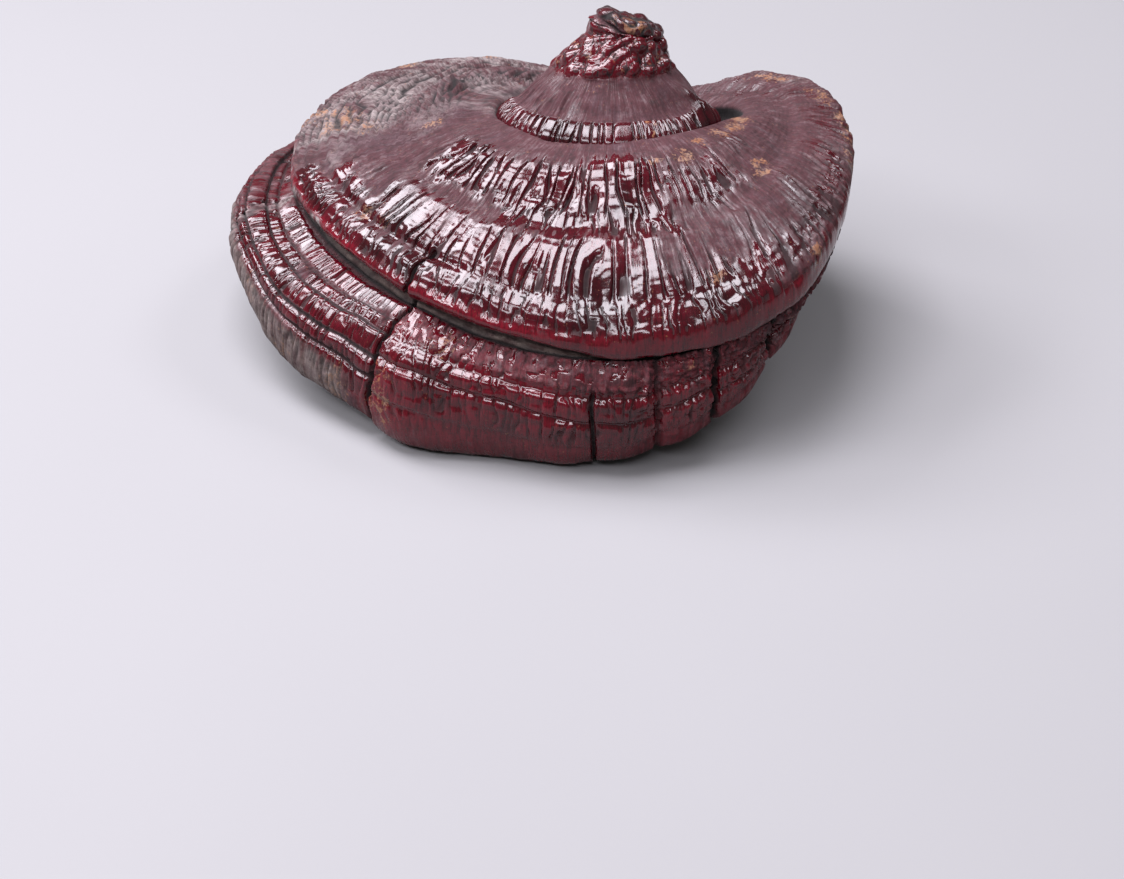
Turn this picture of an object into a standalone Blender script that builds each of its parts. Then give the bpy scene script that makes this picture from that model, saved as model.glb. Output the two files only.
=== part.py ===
"""A dried reishi mushroom, picked and with its stem cut short: one woody fruiting body.

It is one solid, "cap". A pointed hub, the tip of the old stem, stands on a round collar. Round the collar
the cap spreads in two tiers: a rippled upper tier with a turned-down edge and, below a recess, a lower tier
of growth ledges whose foot touches the ground in front and behind. Radial cracks part the lower tier into
lobes. The pores are on the hollow underside, and the cut stem stands under the hub.

Metres, +Z up. The origin is the middle of the cut stem, on the surface that the mushroom rests on. Azimuth 0
is the right-hand side (+X), 90 the back (+Y), 180 the left and 270 the front. Sizes below are in millimetres,
and the mesh is made in metres.
"""

import math

import bpy
import numpy as np
from mathutils import Vector, noise

MM = 0.001

# How finely the solid is cut: columns round the cap, and round the hub and the underside.
CAP_COLUMNS = 100
INNER_COLUMNS = 50
COLUMN_RATIO = CAP_COLUMNS // INNER_COLUMNS

# Outlines round the cap: (azimuth in degrees, distance from the hub's axis, height).
GROOVE = (
    (0, 30.0, 53.5), (20, 30.5, 49.0), (45, 29.5, 43.5), (90, 26.0, 45.0), (140, 30.0, 49.5),
    (180, 31.0, 53.0), (225, 27.5, 57.0), (270, 24.0, 59.5), (315, 27.0, 59.0),
)
BROW = (
    (0, 56.5, 52.0), (22, 54.0, 51.6), (38, 48.0, 50.2), (53, 41.0, 45.0), (75, 41.0, 41.0),
    (100, 56.0, 36.5), (125, 74.0, 37.0), (150, 80.0, 38.5), (180, 77.0, 39.5), (205, 71.0, 38.5),
    (230, 68.5, 37.5), (256, 71.0, 36.5), (283, 73.0, 38.0), (305, 71.0, 43.0), (330, 61.5, 48.5),
)
# The lower tier's widest line, and its foot, where the skin turns under.
SKIRT = (
    (0, 52.0, 41.0), (45, 45.0, 35.0), (80, 48.0, 21.0), (110, 66.0, 16.0), (140, 80.0, 19.0),
    (165, 89.5, 25.5), (185, 91.5, 27.0), (205, 88.5, 18.5), (220, 83.0, 13.0), (231, 81.5, 10.5),
    (250, 77.0, 9.5), (275, 75.0, 11.0), (293, 70.5, 18.0), (308, 66.0, 29.5), (332, 58.5, 38.5),
)
FOOT = (
    (0, 48.0, 35.0), (45, 41.0, 27.0), (80, 44.0, 7.0), (100, 56.0, 0.2), (130, 70.0, 0.2),
    (150, 79.0, 9.0), (170, 86.5, 20.0), (187, 88.0, 21.5), (205, 85.0, 9.0), (220, 79.0, 5.5),
    (231, 77.0, 1.5), (242, 73.0, 0.0), (262, 68.0, 0.0), (283, 67.0, 5.5), (294, 66.0, 12.5),
    (304, 63.0, 21.0), (325, 57.5, 32.5),
)
# The upper tier's edge: (azimuth, height of its face, height of the recess under it).
EDGE = (
    (0, 6.0, 1.5), (60, 5.0, 2.0), (120, 4.4, 3.2), (180, 3.8, 4.2), (248, 3.8, 4.2),
    (274, 6.6, 1.2), (320, 6.4, 1.2),
)

# The hub, from its tip down to the collar's rim: (radius, height, lean to the right).
HUB = (
    (3.0, 79.2, 4.3), (6.0, 78.9, 4.3), (7.7, 77.8, 4.3), (8.0, 76.4, 4.0), (7.4, 75.4, 3.2),
    (8.6, 74.4, 2.4), (10.6, 72.4, 1.4), (13.2, 68.6, 0.4), (16.0, 64.9, 0.0), (21.4, 60.9, 0.0),
    (26.6, 58.2, 0.0), (28.0, 56.2, 0.0), (27.2, 54.2, 0.0),
)
HUB_FLATTENING = 0.84
HUB_TILT_DEG = 12.0
HUB_BACK_DROP = 0.24
HUB_BACK_SOFTNESS = 4.0
HUB_LEAN_BACK = 0.12
COLLAR_HEIGHT = 56.0
NECK_HEIGHT = 75.0
TIP_TILT_DEG = 20.0
HUB_BUMP_HEIGHT = 1.3
HUB_BUMP_SIZE = 6.0
FLUTES = 16
FLUTE_DEPTH = 0.4

# The ripples of the upper tier, from the groove out to the brow: (share of the way, rise at full width).
RIPPLES = (
    (0.0, -1.5), (0.07, 1.9), (0.2, 3.9), (0.36, 3.3), (0.5, 2.2), (0.6, 3.4), (0.78, 2.9),
    (0.88, 1.9), (1.0, 0.0),
)
FULL_WIDTH = 48.0

# The upper tier's edge under the brow: (distance beyond it, shares of the face and the recess gone down).
UNDER_BROW = ((1.0, 0.5, 0.0), (0.5, 1.0, 0.0), (-2.0, 1.0, 0.3), (-1.4, 1.0, 1.0))

# The lower tier starts this far under the brow. Its shoulder and its flank lie this share of the way from
# the brow to the skirt.
TIER_DROP = 10.5
SHOULDER_REACH = 0.35
SHOULDER_DRAWN_IN = -4.0
FLANK_REACH = 0.8
FLANK_HEIGHT = 0.55
FLANK_BULGE = 3.5
ROLL_BULGE = 1.5
ROLL_DEPTH = 0.7

# The hollow underside, from the foot in to the stem.
TURN_IN = 4.0
TURN_UP = 1.0
PORE_LEVEL = 19.0
PORE_SLOPE = 0.35
PORE_RINGS = ((0.72, 0.55), (0.45, 1.0))
STEM_RADIUS = 14.0
STEM_TOP = 20.0
STEM_TOP_SLOPE = 0.2
STEM_FLARE = 3.0
STEM_SHOULDER = 16.0
CUT_EDGE = 0.6

# Numbers of the key rings in cap_rings. A place on the skin is a ring's number and a share of the way on.
RING_BROW = 8
RING_LIP = 10
RING_SHELF = 12
RING_SKIRT = 15
RING_FOOT = 17

# Growth lines on the upper tier: (share of the way out, depth, half width, middle azimuth, reach).
GROWTH_LINES = (
    (0.86, 1.0, 0.022, 206, 64), (0.5, 0.7, 0.03, 125, 66), (0.66, 0.7, 0.03, 140, 60),
)
# The furrow behind the hub winds out from the groove: (azimuth, share of the way out, depth).
FURROW = (
    (70, 0.05, 0.0), (95, 0.08, 1.5), (112, 0.12, 3.0), (124, 0.17, 4.0), (138, 0.29, 4.0),
    (150, 0.37, 2.0), (162, 0.42, 0.0),
)
FURROW_INNER_WIDTH = 0.09
FURROW_OUTER_WIDTH = 0.04
# The folds at the left of the collar: (azimuth, share of the way out, half length, half width, height).
FOLDS = ((158, 0.26, 11.0, 0.07, 2.2), (176, 0.13, 12.0, 0.07, 1.7), (196, 0.11, 11.0, 0.06, 0.8))
# The grooves between the lower tier's growth ledges: (place, depth of the groove).
LEDGES = ((12.5, 0.9), (13.1, 1.2), (13.65, 1.3), (14.3, 1.1))
LEDGE_END = 17.5
LEDGE_WANDER = 0.22
LEDGE_FLANK = 0.2
LEDGE_FALL = 0.4

RIB_COUNT = 33
RIB_HEIGHT = 0.4
RIB_WANDER = 1.5
RIB_WANDER_SIZE = 30.0
LUMP_HEIGHT = 1.2
LUMP_SIZE = 19.0
# The crevice between the collar and the right-hand side: (azimuth, reach, depth).
CREVICE = (25.0, 50.0, 2.5)

# Radial cracks: (azimuth, places where each begins and ends, depth).
CRACKS = (
    (226.8, 6.6, 17.2, 3.0), (266.2, 12.0, 17.2, 1.6), (278.0, 12.0, 17.0, 1.4),
    (288.3, 11.0, 17.0, 2.2), (298.0, 11.0, 17.0, 2.4), (309.0, 12.0, 16.5, 1.2),
    (155.0, 7.5, 16.5, 2.0), (110.0, 12.0, 17.0, 1.8), (68.0, 8.0, 16.5, 2.2),
    (193.0, 12.5, 15.5, 1.0),
)
CRACK_HALF_WIDTH_DEG = 1.2

# Where the rows of the cap run: down the upper tier and its edge, then over each ledge to the foot.
UPPER_ROWS = (0, 1, 2, 2.5, 3, 3.5, 4, 5, 5.5, 6, 6.5, 6.8, 7.2, 7.6, 8, 9, 10, 11, 12)
ROLL_ROWS = (15, 15.6, 16.3, 17)
LEDGE_ROWS = (0.0, 0.2, 0.7)

SKIN_COLOUR = (0.10, 0.012, 0.016, 1.0)
SKIN_ROUGHNESS = 0.22


def around(stations, azimuths):
    """The two values given at each station, smoothly carried round the closed outline to the azimuths."""
    table = np.array(stations, float)
    angle = np.concatenate([table[-1:, 0] - 360, table[:, 0], table[:2, 0] + 360])
    value = np.concatenate([table[-1:, 1:], table[:, 1:], table[:2, 1:]])
    step = np.diff(angle)[:, None]
    slope = np.diff(value, axis=0) / step
    tangent = (slope[:-1] * step[1:] + slope[1:] * step[:-1]) / (step[:-1] + step[1:])
    turned = (azimuths - angle[1]) % 360 + angle[1]
    span = np.clip(np.searchsorted(angle, turned, side="right") - 1, 1, len(table))
    length = step[span]
    s = (turned - angle[span])[:, None] / length
    start_tangent = tangent[span - 1] * length
    end_tangent = tangent[span % len(table)] * length
    found = (
        (2 * s**3 - 3 * s**2 + 1) * value[span]
        + (s**3 - 2 * s**2 + s) * start_tangent
        + (3 * s**2 - 2 * s**3) * value[span + 1]
        + (s**3 - s**2) * end_tangent
    )
    return found[:, 0], found[:, 1]


def ring(azimuths, distance, height):
    """The points of one ring."""
    turn = np.radians(azimuths)
    height = np.broadcast_to(height, turn.shape)
    return np.stack([distance * np.cos(turn), distance * np.sin(turn), height], axis=-1)


def hub_rings(azimuths):
    """The hub's rings, from its tip to the collar's rim. It leans back, and its tip to the right."""
    tilt = math.tan(math.radians(HUB_TILT_DEG))
    tip_tilt = math.tan(math.radians(TIP_TILT_DEG))
    rings = []
    for radius, height, lean in HUB:
        points = ring(azimuths, radius, height)
        points[:, 1] *= HUB_FLATTENING
        back = points[:, 1].copy()
        behind = 0.5 * (back + np.hypot(back, HUB_BACK_SOFTNESS) - HUB_BACK_SOFTNESS)
        points[:, 2] -= tilt * back + HUB_BACK_DROP * behind
        if height > NECK_HEIGHT:
            points[:, 2] -= tip_tilt * points[:, 0]
        points[:, 0] += lean
        points[:, 1] += HUB_LEAN_BACK * (height - COLLAR_HEIGHT)
        rings.append(points)
    return np.array(rings)


def cap_rings(azimuths):
    """The key rings from the collar's groove out over both tiers and under to the cut stem."""
    groove, groove_z = around(GROOVE, azimuths)
    brow, brow_z = around(BROW, azimuths)
    skirt, skirt_z = around(SKIRT, azimuths)
    foot, foot_z = around(FOOT, azimuths)
    foot_z = np.maximum(foot_z, 0.0)
    face, recess = around(EDGE, azimuths)
    width = brow - groove
    fall = brow_z - groove_z
    upper_tier = [
        ring(azimuths, groove + share * width, groove_z + share * fall + rise * width / FULL_WIDTH)
        for share, rise in RIPPLES
    ]
    upper_edge = [
        ring(azimuths, brow + beyond, brow_z - face_share * face - recess_share * recess)
        for beyond, face_share, recess_share in UNDER_BROW
    ]
    reach = skirt - brow
    shoulder_z = brow_z - TIER_DROP
    flank_z = shoulder_z + FLANK_BULGE
    lower_tier = [
        ring(azimuths, brow + SHOULDER_REACH * np.maximum(reach, SHOULDER_DRAWN_IN), shoulder_z),
        ring(azimuths, brow + FLANK_REACH * reach, skirt_z + FLANK_HEIGHT * (flank_z - skirt_z)),
        ring(azimuths, skirt, skirt_z),
        ring(azimuths, 0.5 * (skirt + foot) + ROLL_BULGE, skirt_z + ROLL_DEPTH * (foot_z - skirt_z)),
        ring(azimuths, foot, foot_z),
    ]
    pore_z = PORE_LEVEL + PORE_SLOPE * foot_z
    underside = [ring(azimuths, foot - TURN_IN, foot_z + TURN_UP)]
    underside += [
        ring(azimuths, share * foot, foot_z + rise * (pore_z - foot_z)) for share, rise in PORE_RINGS
    ]
    underside += [
        ring(azimuths, STEM_RADIUS + STEM_FLARE, STEM_TOP + STEM_TOP_SLOPE * foot_z),
        ring(azimuths, STEM_RADIUS, STEM_SHOULDER),
        ring(azimuths, STEM_RADIUS, CUT_EDGE),
        ring(azimuths, STEM_RADIUS - CUT_EDGE, 0.0),
    ]
    return np.array(upper_tier + upper_edge + lower_tier + underside)


def along(keys, places):
    """Points at a grid of places on the smooth curves that run through the key rings."""
    first = 2 * keys[:1] - keys[1:2]
    last = 2 * keys[-1:] - keys[-2:-1]
    padded = np.concatenate([first, keys, last])
    number = np.clip(np.floor(places).astype(int), 0, len(keys) - 2)
    column = np.arange(keys.shape[1])[None, :]
    p0, p1, p2, p3 = (padded[number + k, column] for k in range(4))
    t0 = np.zeros(number.shape)
    t1 = t0 + np.sqrt(np.linalg.norm(p1 - p0, axis=-1) + 1e-9)
    t2 = t1 + np.sqrt(np.linalg.norm(p2 - p1, axis=-1) + 1e-9)
    t3 = t2 + np.sqrt(np.linalg.norm(p3 - p2, axis=-1) + 1e-9)
    t = t1 + (t2 - t1) * (places - number)
    t0, t1, t2, t3, t = (value[..., None] for value in (t0, t1, t2, t3, t))
    a1 = ((t1 - t) * p0 + (t - t0) * p1) / (t1 - t0)
    a2 = ((t2 - t) * p1 + (t - t1) * p2) / (t2 - t1)
    a3 = ((t3 - t) * p2 + (t - t2) * p3) / (t3 - t2)
    b1 = ((t2 - t) * a1 + (t - t0) * a2) / (t2 - t0)
    b2 = ((t3 - t) * a2 + (t - t1) * a3) / (t3 - t1)
    return ((t2 - t) * b1 + (t - t1) * b2) / (t2 - t1)


def outward(rows):
    """The surface's outward direction at each point of a grid of rows that closes round the axis."""
    down = np.gradient(rows, axis=0)
    sideways = np.roll(rows, -1, axis=1) - np.roll(rows, 1, axis=1)
    normal = np.cross(down, sideways)
    return normal / np.maximum(np.linalg.norm(normal, axis=2, keepdims=True), 1e-9)


def lumps(points, size, seed):
    """Smooth noise from -1 to 1 at each point, its swells about size apart."""
    shift = Vector((seed, 2.7 * seed, -1.3 * seed))
    flat = [noise.noise(Vector(p) / size + shift) for p in points.reshape(-1, 3)]
    return np.array(flat).reshape(points.shape[:-1])


def angle_from(azimuths, middle):
    """How many degrees each azimuth lies from the middle, from -180 to 180."""
    return (azimuths - middle + 180) % 360 - 180


def swell(azimuths, middle, reach):
    """1 at the middle azimuth, falling smoothly to 0 at the reach on each side."""
    return np.cos(0.5 * math.pi * np.clip(angle_from(azimuths, middle) / reach, -1, 1)) ** 2


def between(places, start, end, fade=0.5):
    """1 between two places, fading to 0 just outside them."""
    return np.clip((places - start) / fade + 1, 0, 1) * np.clip((end - places) / fade + 1, 0, 1)


def furrow(share, azimuths):
    """The depth of the furrow behind the hub, steep on its outer side."""
    table = np.array(FURROW, float).T
    middle = np.interp(azimuths, table[0], table[1])
    depth = np.interp(azimuths, table[0], table[2], left=0.0, right=0.0)
    width = np.where(share < middle, FURROW_INNER_WIDTH, FURROW_OUTER_WIDTH)
    return depth * np.exp(-(((share - middle) / width) ** 2))


def ledge_profile(places):
    """The height of the lower tier's ledges: a groove at each ledge's start, then a flat-topped step."""
    starts = [start for start, _ in LEDGES] + [LEDGE_END]
    height = np.zeros(places.shape)
    for number, (start, depth) in enumerate(LEDGES):
        t = np.clip((places - start) / (starts[number + 1] - start), 0, 1)
        step = np.minimum(np.minimum(t, 1 - t) / LEDGE_FLANK, 1)
        height = np.where((t > 0) & (t < 1), depth * step * (1 - LEDGE_FALL * t), height)
    return height


def cap_relief(rows, places, azimuths):
    """How far each point of both tiers is raised: lumps, growth lines, ledges, ribs and cracks."""
    share = np.interp(places, range(len(RIPPLES)), [ripple[0] for ripple in RIPPLES])
    raised = LUMP_HEIGHT * lumps(rows, LUMP_SIZE, 1.0) * np.clip(places - 0.5, 0, 1)
    middle, reach, depth = CREVICE
    raised -= depth * swell(azimuths, middle, reach) * np.clip(1 - places, 0, 1)
    for line, depth, width, middle, reach in GROWTH_LINES:
        groove = np.exp(-(((share - line) / width) ** 2)) * (places < RING_BROW)
        raised -= depth * groove * swell(azimuths, middle, reach)
    raised -= furrow(share, azimuths)
    for azimuth, line, length, width, height in FOLDS:
        raised += height * swell(azimuths, azimuth, length) * np.exp(-(((share - line) / width) ** 2))
    raised += ledge_profile(places) * between(places, RING_SHELF, RING_FOOT - 0.5)
    ribs = np.sin(np.radians(azimuths) * RIB_COUNT + RIB_WANDER * lumps(rows, RIB_WANDER_SIZE, 3.0))
    raised += RIB_HEIGHT * ribs * np.clip(3 * share, 0, 1) * (1 - between(places, RING_LIP, RING_SHELF))
    for azimuth, start, end, depth in CRACKS:
        beside = np.abs(angle_from(azimuths, azimuth)) / CRACK_HALF_WIDTH_DEG
        raised -= depth * np.clip(1 - beside, 0, 1) * between(places, start, end)
    return raised * np.clip(RING_FOOT - places, 0, 1)


def column_azimuths():
    """Even columns, with three of them drawn close together over each crack."""
    azimuths = np.arange(CAP_COLUMNS) * 360.0 / CAP_COLUMNS
    for azimuth, *_ in CRACKS:
        middle = round(azimuth * CAP_COLUMNS / 360)
        for side in (-1, 0, 1):
            azimuths[(middle + side) % CAP_COLUMNS] = azimuth + side * CRACK_HALF_WIDTH_DEG
    return azimuths


def row_places():
    """The places of the cap's rows, from the groove to the foot."""
    starts = [start for start, _ in LEDGES] + [ROLL_ROWS[0]]
    ledges = [
        start + share * (end - start)
        for start, end in zip(starts, starts[1:])
        for share in LEDGE_ROWS
    ]
    return np.array([*UPPER_ROWS, *ledges, *ROLL_ROWS], float)


def wandering(places, azimuths):
    """Moves the lower tier's rows a little up and down on their way round, as the ledges do."""
    circle = ring(azimuths, 1.0, 0.0)
    drift = LEDGE_WANDER * lumps(2.6 * circle, 1.0, 4.0)[None, :]
    return places + drift * between(places, RING_SHELF + 1.0, RING_SKIRT, 1.0)


def stitched(rings):
    """Points and faces of the closed skin over rings listed from the top to the bottom. Neighbouring rings
    may differ in their number of points by a whole factor. The ends are closed, the lower one flat."""
    points = [rings[0].mean(axis=0)[None]] + list(rings)
    starts = np.cumsum([0] + [len(p) for p in points])
    faces = [(0, 1 + j, 1 + (j + 1) % len(rings[0])) for j in range(len(rings[0]))]
    for number in range(1, len(points) - 1):
        above, below = len(points[number]), len(points[number + 1])
        top, bottom = starts[number], starts[number + 1]
        if above == below:
            faces += [
                (top + j, bottom + j, bottom + (j + 1) % below, top + (j + 1) % above)
                for j in range(above)
            ]
        elif above < below:
            for j in range(above):
                a, b = top + j, top + (j + 1) % above
                low = [bottom + (COLUMN_RATIO * j + k) % below for k in range(COLUMN_RATIO + 1)]
                faces += [(a, low[0], low[1]), (a, low[1], b)]
                faces += [(b, low[k], low[k + 1]) for k in range(1, COLUMN_RATIO)]
        else:
            for j in range(below):
                a, b = bottom + j, bottom + (j + 1) % below
                high = [top + (COLUMN_RATIO * j + k) % above for k in range(COLUMN_RATIO + 1)]
                faces += [(high[0], a, high[1]), (high[1], a, b)]
                faces += [(high[k], b, high[k + 1]) for k in range(1, COLUMN_RATIO)]
    faces.append(tuple(starts[-2] + j for j in reversed(range(len(points[-1])))))
    return np.concatenate(points), faces


def hub_skin(azimuths):
    """The hub's rows, with bumps on its neck and flutes on the collar's rim."""
    rows = hub_rings(azimuths)
    level = np.arange(len(rows))[:, None]
    raised = HUB_BUMP_HEIGHT * lumps(rows, HUB_BUMP_SIZE, 5.0)
    flutes = np.sin(np.radians(azimuths) * FLUTES) * np.clip(level - (len(rows) - 4), 0, 1)
    raised = raised * np.clip((len(rows) - 3 - level) / 4, 0, 1) + FLUTE_DEPTH * flutes
    return rows + outward(rows) * raised[:, :, None]


def cap_skin():
    """Points, in millimetres, and faces of the whole mushroom."""
    azimuths = column_azimuths()
    inner = azimuths[::COLUMN_RATIO]
    places = np.repeat(row_places()[:, None], CAP_COLUMNS, axis=1)
    rows = along(cap_rings(azimuths), wandering(places, azimuths))
    rows = rows + outward(rows) * cap_relief(rows, places, azimuths)[:, :, None]
    rows[:, :, 2] = np.maximum(rows[:, :, 2], 0.0)
    underside = cap_rings(inner)[RING_FOOT + 1 :]
    return stitched([*hub_skin(inner), *rows, *underside])


def skin_material():
    """Lacquered mahogany-brown skin."""
    material = bpy.data.materials.new("lacquered_skin")
    material.use_nodes = True
    shader = material.node_tree.nodes["Principled BSDF"]
    shader.inputs["Base Color"].default_value = SKIN_COLOUR
    shader.inputs["Roughness"].default_value = SKIN_ROUGHNESS
    shader.inputs["Metallic"].default_value = 0.0
    return material


def build():
    for obj in list(bpy.data.objects):
        bpy.data.objects.remove(obj)
    points, faces = cap_skin()
    mesh = bpy.data.meshes.new("cap")
    mesh.from_pydata((points * MM).tolist(), [], [list(map(int, face)) for face in faces])
    mesh.shade_smooth()
    mesh.materials.append(skin_material())
    cap = bpy.data.objects.new("cap", mesh)
    bpy.context.scene.collection.objects.link(cap)
    return cap


build()
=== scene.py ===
"""The looks of a dried reishi mushroom: its skin at full detail, its varnish, a floor, lights and a camera.

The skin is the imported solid's own surface, worked out again from the same outlines and cut much finer, with
radial wrinkles, growth lines, ledges, cracks and pores. It comes in three closed pieces: the hub with its
collar, the upper tier, and the lower tier with the underside and the stem. They meet out of sight, under the
collar's rim and in the recess under the upper tier's edge.

Sizes are in millimetres and azimuths in degrees, 0 at the right, 90 at the back, 180 at the left and 270 at
the front. A place is a number along the key rings, from the top down. A share is how far a point of the upper
tier lies on the way from the groove, 0, to the brow, 1. Materials and studio are in metres.
"""

import math

import bpy
import numpy as np
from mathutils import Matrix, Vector, noise


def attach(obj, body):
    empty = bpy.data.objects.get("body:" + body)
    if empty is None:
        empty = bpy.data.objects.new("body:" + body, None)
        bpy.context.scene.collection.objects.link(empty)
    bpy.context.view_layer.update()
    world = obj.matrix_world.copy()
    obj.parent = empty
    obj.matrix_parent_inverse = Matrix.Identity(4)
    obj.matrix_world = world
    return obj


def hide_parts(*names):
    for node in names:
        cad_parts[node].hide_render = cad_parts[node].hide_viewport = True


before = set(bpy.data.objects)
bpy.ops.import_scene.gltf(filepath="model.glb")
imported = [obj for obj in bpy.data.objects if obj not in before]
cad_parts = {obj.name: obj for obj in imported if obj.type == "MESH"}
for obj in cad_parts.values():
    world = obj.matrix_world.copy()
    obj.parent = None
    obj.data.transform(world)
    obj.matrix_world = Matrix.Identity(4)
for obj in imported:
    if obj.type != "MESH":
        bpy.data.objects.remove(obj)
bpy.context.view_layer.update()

MM = 0.001

# ---------------------------------------------------------------- the solid's outlines

# Closed lines round the axis: azimuth, distance from the axis and height. The groove lies round the collar,
# the brow is the upper tier's edge, the skirt the lower tier's widest line and the foot its lower end.
GROOVE = (
    (0, 30.0, 53.5), (20, 30.5, 49.0), (45, 29.5, 43.5), (90, 26.0, 45.0), (140, 30.0, 49.5),
    (180, 31.0, 53.0), (225, 27.5, 57.0), (270, 24.0, 59.5), (315, 27.0, 59.0),
)
BROW = (
    (0, 56.5, 52.0), (22, 54.0, 51.6), (38, 48.0, 50.2), (53, 41.0, 45.0), (75, 41.0, 41.0),
    (100, 56.0, 36.5), (125, 74.0, 37.0), (150, 80.0, 38.5), (180, 77.0, 39.5), (205, 71.0, 38.5),
    (230, 68.5, 37.5), (256, 71.0, 36.5), (283, 73.0, 38.0), (305, 71.0, 43.0), (330, 61.5, 48.5),
)
SKIRT = (
    (0, 52.0, 41.0), (45, 45.0, 35.0), (80, 48.0, 21.0), (110, 66.0, 16.0), (140, 80.0, 19.0),
    (165, 89.5, 25.5), (185, 91.5, 27.0), (205, 88.5, 18.5), (220, 83.0, 13.0), (231, 81.5, 10.5),
    (250, 77.0, 9.5), (275, 75.0, 11.0), (293, 70.5, 18.0), (308, 66.0, 29.5), (332, 58.5, 38.5),
)
FOOT = (
    (0, 48.0, 35.0), (45, 41.0, 27.0), (80, 44.0, 7.0), (100, 56.0, 0.2), (130, 70.0, 0.2),
    (150, 79.0, 9.0), (170, 86.5, 20.0), (187, 88.0, 21.5), (205, 85.0, 9.0), (220, 79.0, 5.5),
    (231, 77.0, 1.5), (242, 73.0, 0.0), (262, 68.0, 0.0), (283, 67.0, 5.5), (294, 66.0, 12.5),
    (304, 63.0, 21.0), (325, 57.5, 32.5),
)
# The upper tier's edge: azimuth, height of its face and depth of the recess under it.
EDGE = (
    (0, 6.0, 1.5), (60, 5.0, 2.0), (120, 4.4, 3.2), (180, 3.8, 4.2), (248, 3.8, 4.2),
    (274, 6.6, 1.2), (320, 6.4, 1.2),
)
# The hub's key rings: radius, height and shift to the right.
HUB = (
    (3.0, 79.2, 4.3), (6.0, 78.9, 4.3), (7.7, 77.8, 4.3), (8.0, 76.4, 4.0), (7.4, 75.4, 3.2),
    (8.6, 74.4, 2.4), (10.6, 72.4, 1.4), (13.2, 68.6, 0.4), (16.0, 64.9, 0.0), (21.4, 60.9, 0.0),
    (26.6, 58.2, 0.0), (28.0, 56.2, 0.0), (27.2, 54.2, 0.0),
)
HUB_FLATTENING = 0.84
HUB_TILT_DEG = 12.0
HUB_BACK_DROP = 0.24
HUB_BACK_SOFTNESS = 4.0
HUB_LEAN_BACK = 0.12
COLLAR_HEIGHT = 56.0
NECK_HEIGHT = 75.0
TIP_TILT_DEG = 20.0

# The upper tier's key rings: share and rise over the straight line, on a tier of the full width. Those under
# the brow: how far beyond it they lie, and how much of the face and of the recess they are below it.
RIPPLES = (
    (0.0, -1.5), (0.07, 1.9), (0.2, 3.9), (0.36, 3.3), (0.5, 2.2), (0.6, 3.4), (0.78, 2.9),
    (0.88, 1.9), (1.0, 0.0),
)
FULL_WIDTH = 48.0
UNDER_BROW = ((1.0, 0.5, 0.0), (0.5, 1.0, 0.0), (-2.0, 1.0, 0.3), (-1.4, 1.0, 1.0))
TIER_DROP = 10.5
SHOULDER_REACH = 0.35
SHOULDER_DRAWN_IN = -4.0
FLANK_REACH = 0.8
FLANK_HEIGHT = 0.55
FLANK_BULGE = 3.5
ROLL_BULGE = 1.5
ROLL_DEPTH = 0.7
TURN_IN = 4.0
TURN_UP = 1.0
PORE_LEVEL = 19.0
PORE_SLOPE = 0.35
PORE_RINGS = ((0.72, 0.55), (0.45, 1.0))
STEM_RADIUS = 14.0
STEM_TOP = 20.0
STEM_TOP_SLOPE = 0.2
STEM_FLARE = 3.0
STEM_SHOULDER = 16.0
CUT_EDGE = 0.6

# Places of the key rings that other forms are measured from.
RING_BROW = 8
RING_LIP = 10
RING_SHELF = 12
RING_SKIRT = 15
RING_FOOT = 17
RING_PORES = 18
RING_STEM = 21
RING_CUT = 24
# The place between two of them where the underside ends and the stem's bark starts.
STEM_START = 20.2

LUMP_HEIGHT = 1.2
LUMP_SIZE = 19.0
# The crevice at the collar's right: azimuth, how far it reaches on each side, depth.
CREVICE = (25.0, 50.0, 2.5)
# Growth lines: azimuth, share, how far each reaches on both sides, width and depth. Folds beside the furrow
# behind the hub: the same, with the height.
GROWTH_LINES = (
    (206, 0.86, 64, 0.022, 1.0), (125, 0.5, 66, 0.03, 0.7), (140, 0.66, 60, 0.03, 0.7),
)
FOLDS = ((158, 0.26, 11.0, 0.07, 2.2), (176, 0.13, 12.0, 0.07, 1.7), (196, 0.11, 11.0, 0.06, 0.8))
# The furrow behind the hub: azimuth, share and depth.
FURROW = (
    (70, 0.05, 0.0), (95, 0.08, 1.5), (112, 0.12, 3.0), (124, 0.17, 4.0), (138, 0.29, 4.0),
    (150, 0.37, 2.0), (162, 0.42, 0.0),
)
FURROW_INNER_WIDTH = 0.09
FURROW_OUTER_WIDTH = 0.04

# ---------------------------------------------------------------- finer forms, made here only

# Columns of points round the cap: the first many lie over its wrinkled front, the others round its back.
CAP_COLUMNS = 1080
FRONT_COLUMNS = 690
FRONT_START = 184.0
FRONT_END = 336.0
HUB_COLUMNS = 720

# Radial wrinkles on the upper tier, band by band: where the band starts and ends on the way out, how many
# ridges lie round the cap, how long and how high they are, how open the gaps between them are where the
# band starts and where it ends, and how deeply the ridges are cut across.
WRINKLE_BANDS = (
    (0.18, 0.44, 90, 7.5, 1.0, 0.85, 0.95, 0.35), (0.43, 0.56, 104, 6.0, 0.7, 0.6, 0.8, 0.2),
    (0.565, 0.865, 112, 12.0, 1.05, 0.15, 1.25, 0.05), (0.885, 1.05, 160, 3.6, 0.4, 0.95, 0.95, 0.5),
)
WRINKLE_FADE = 0.02
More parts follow.
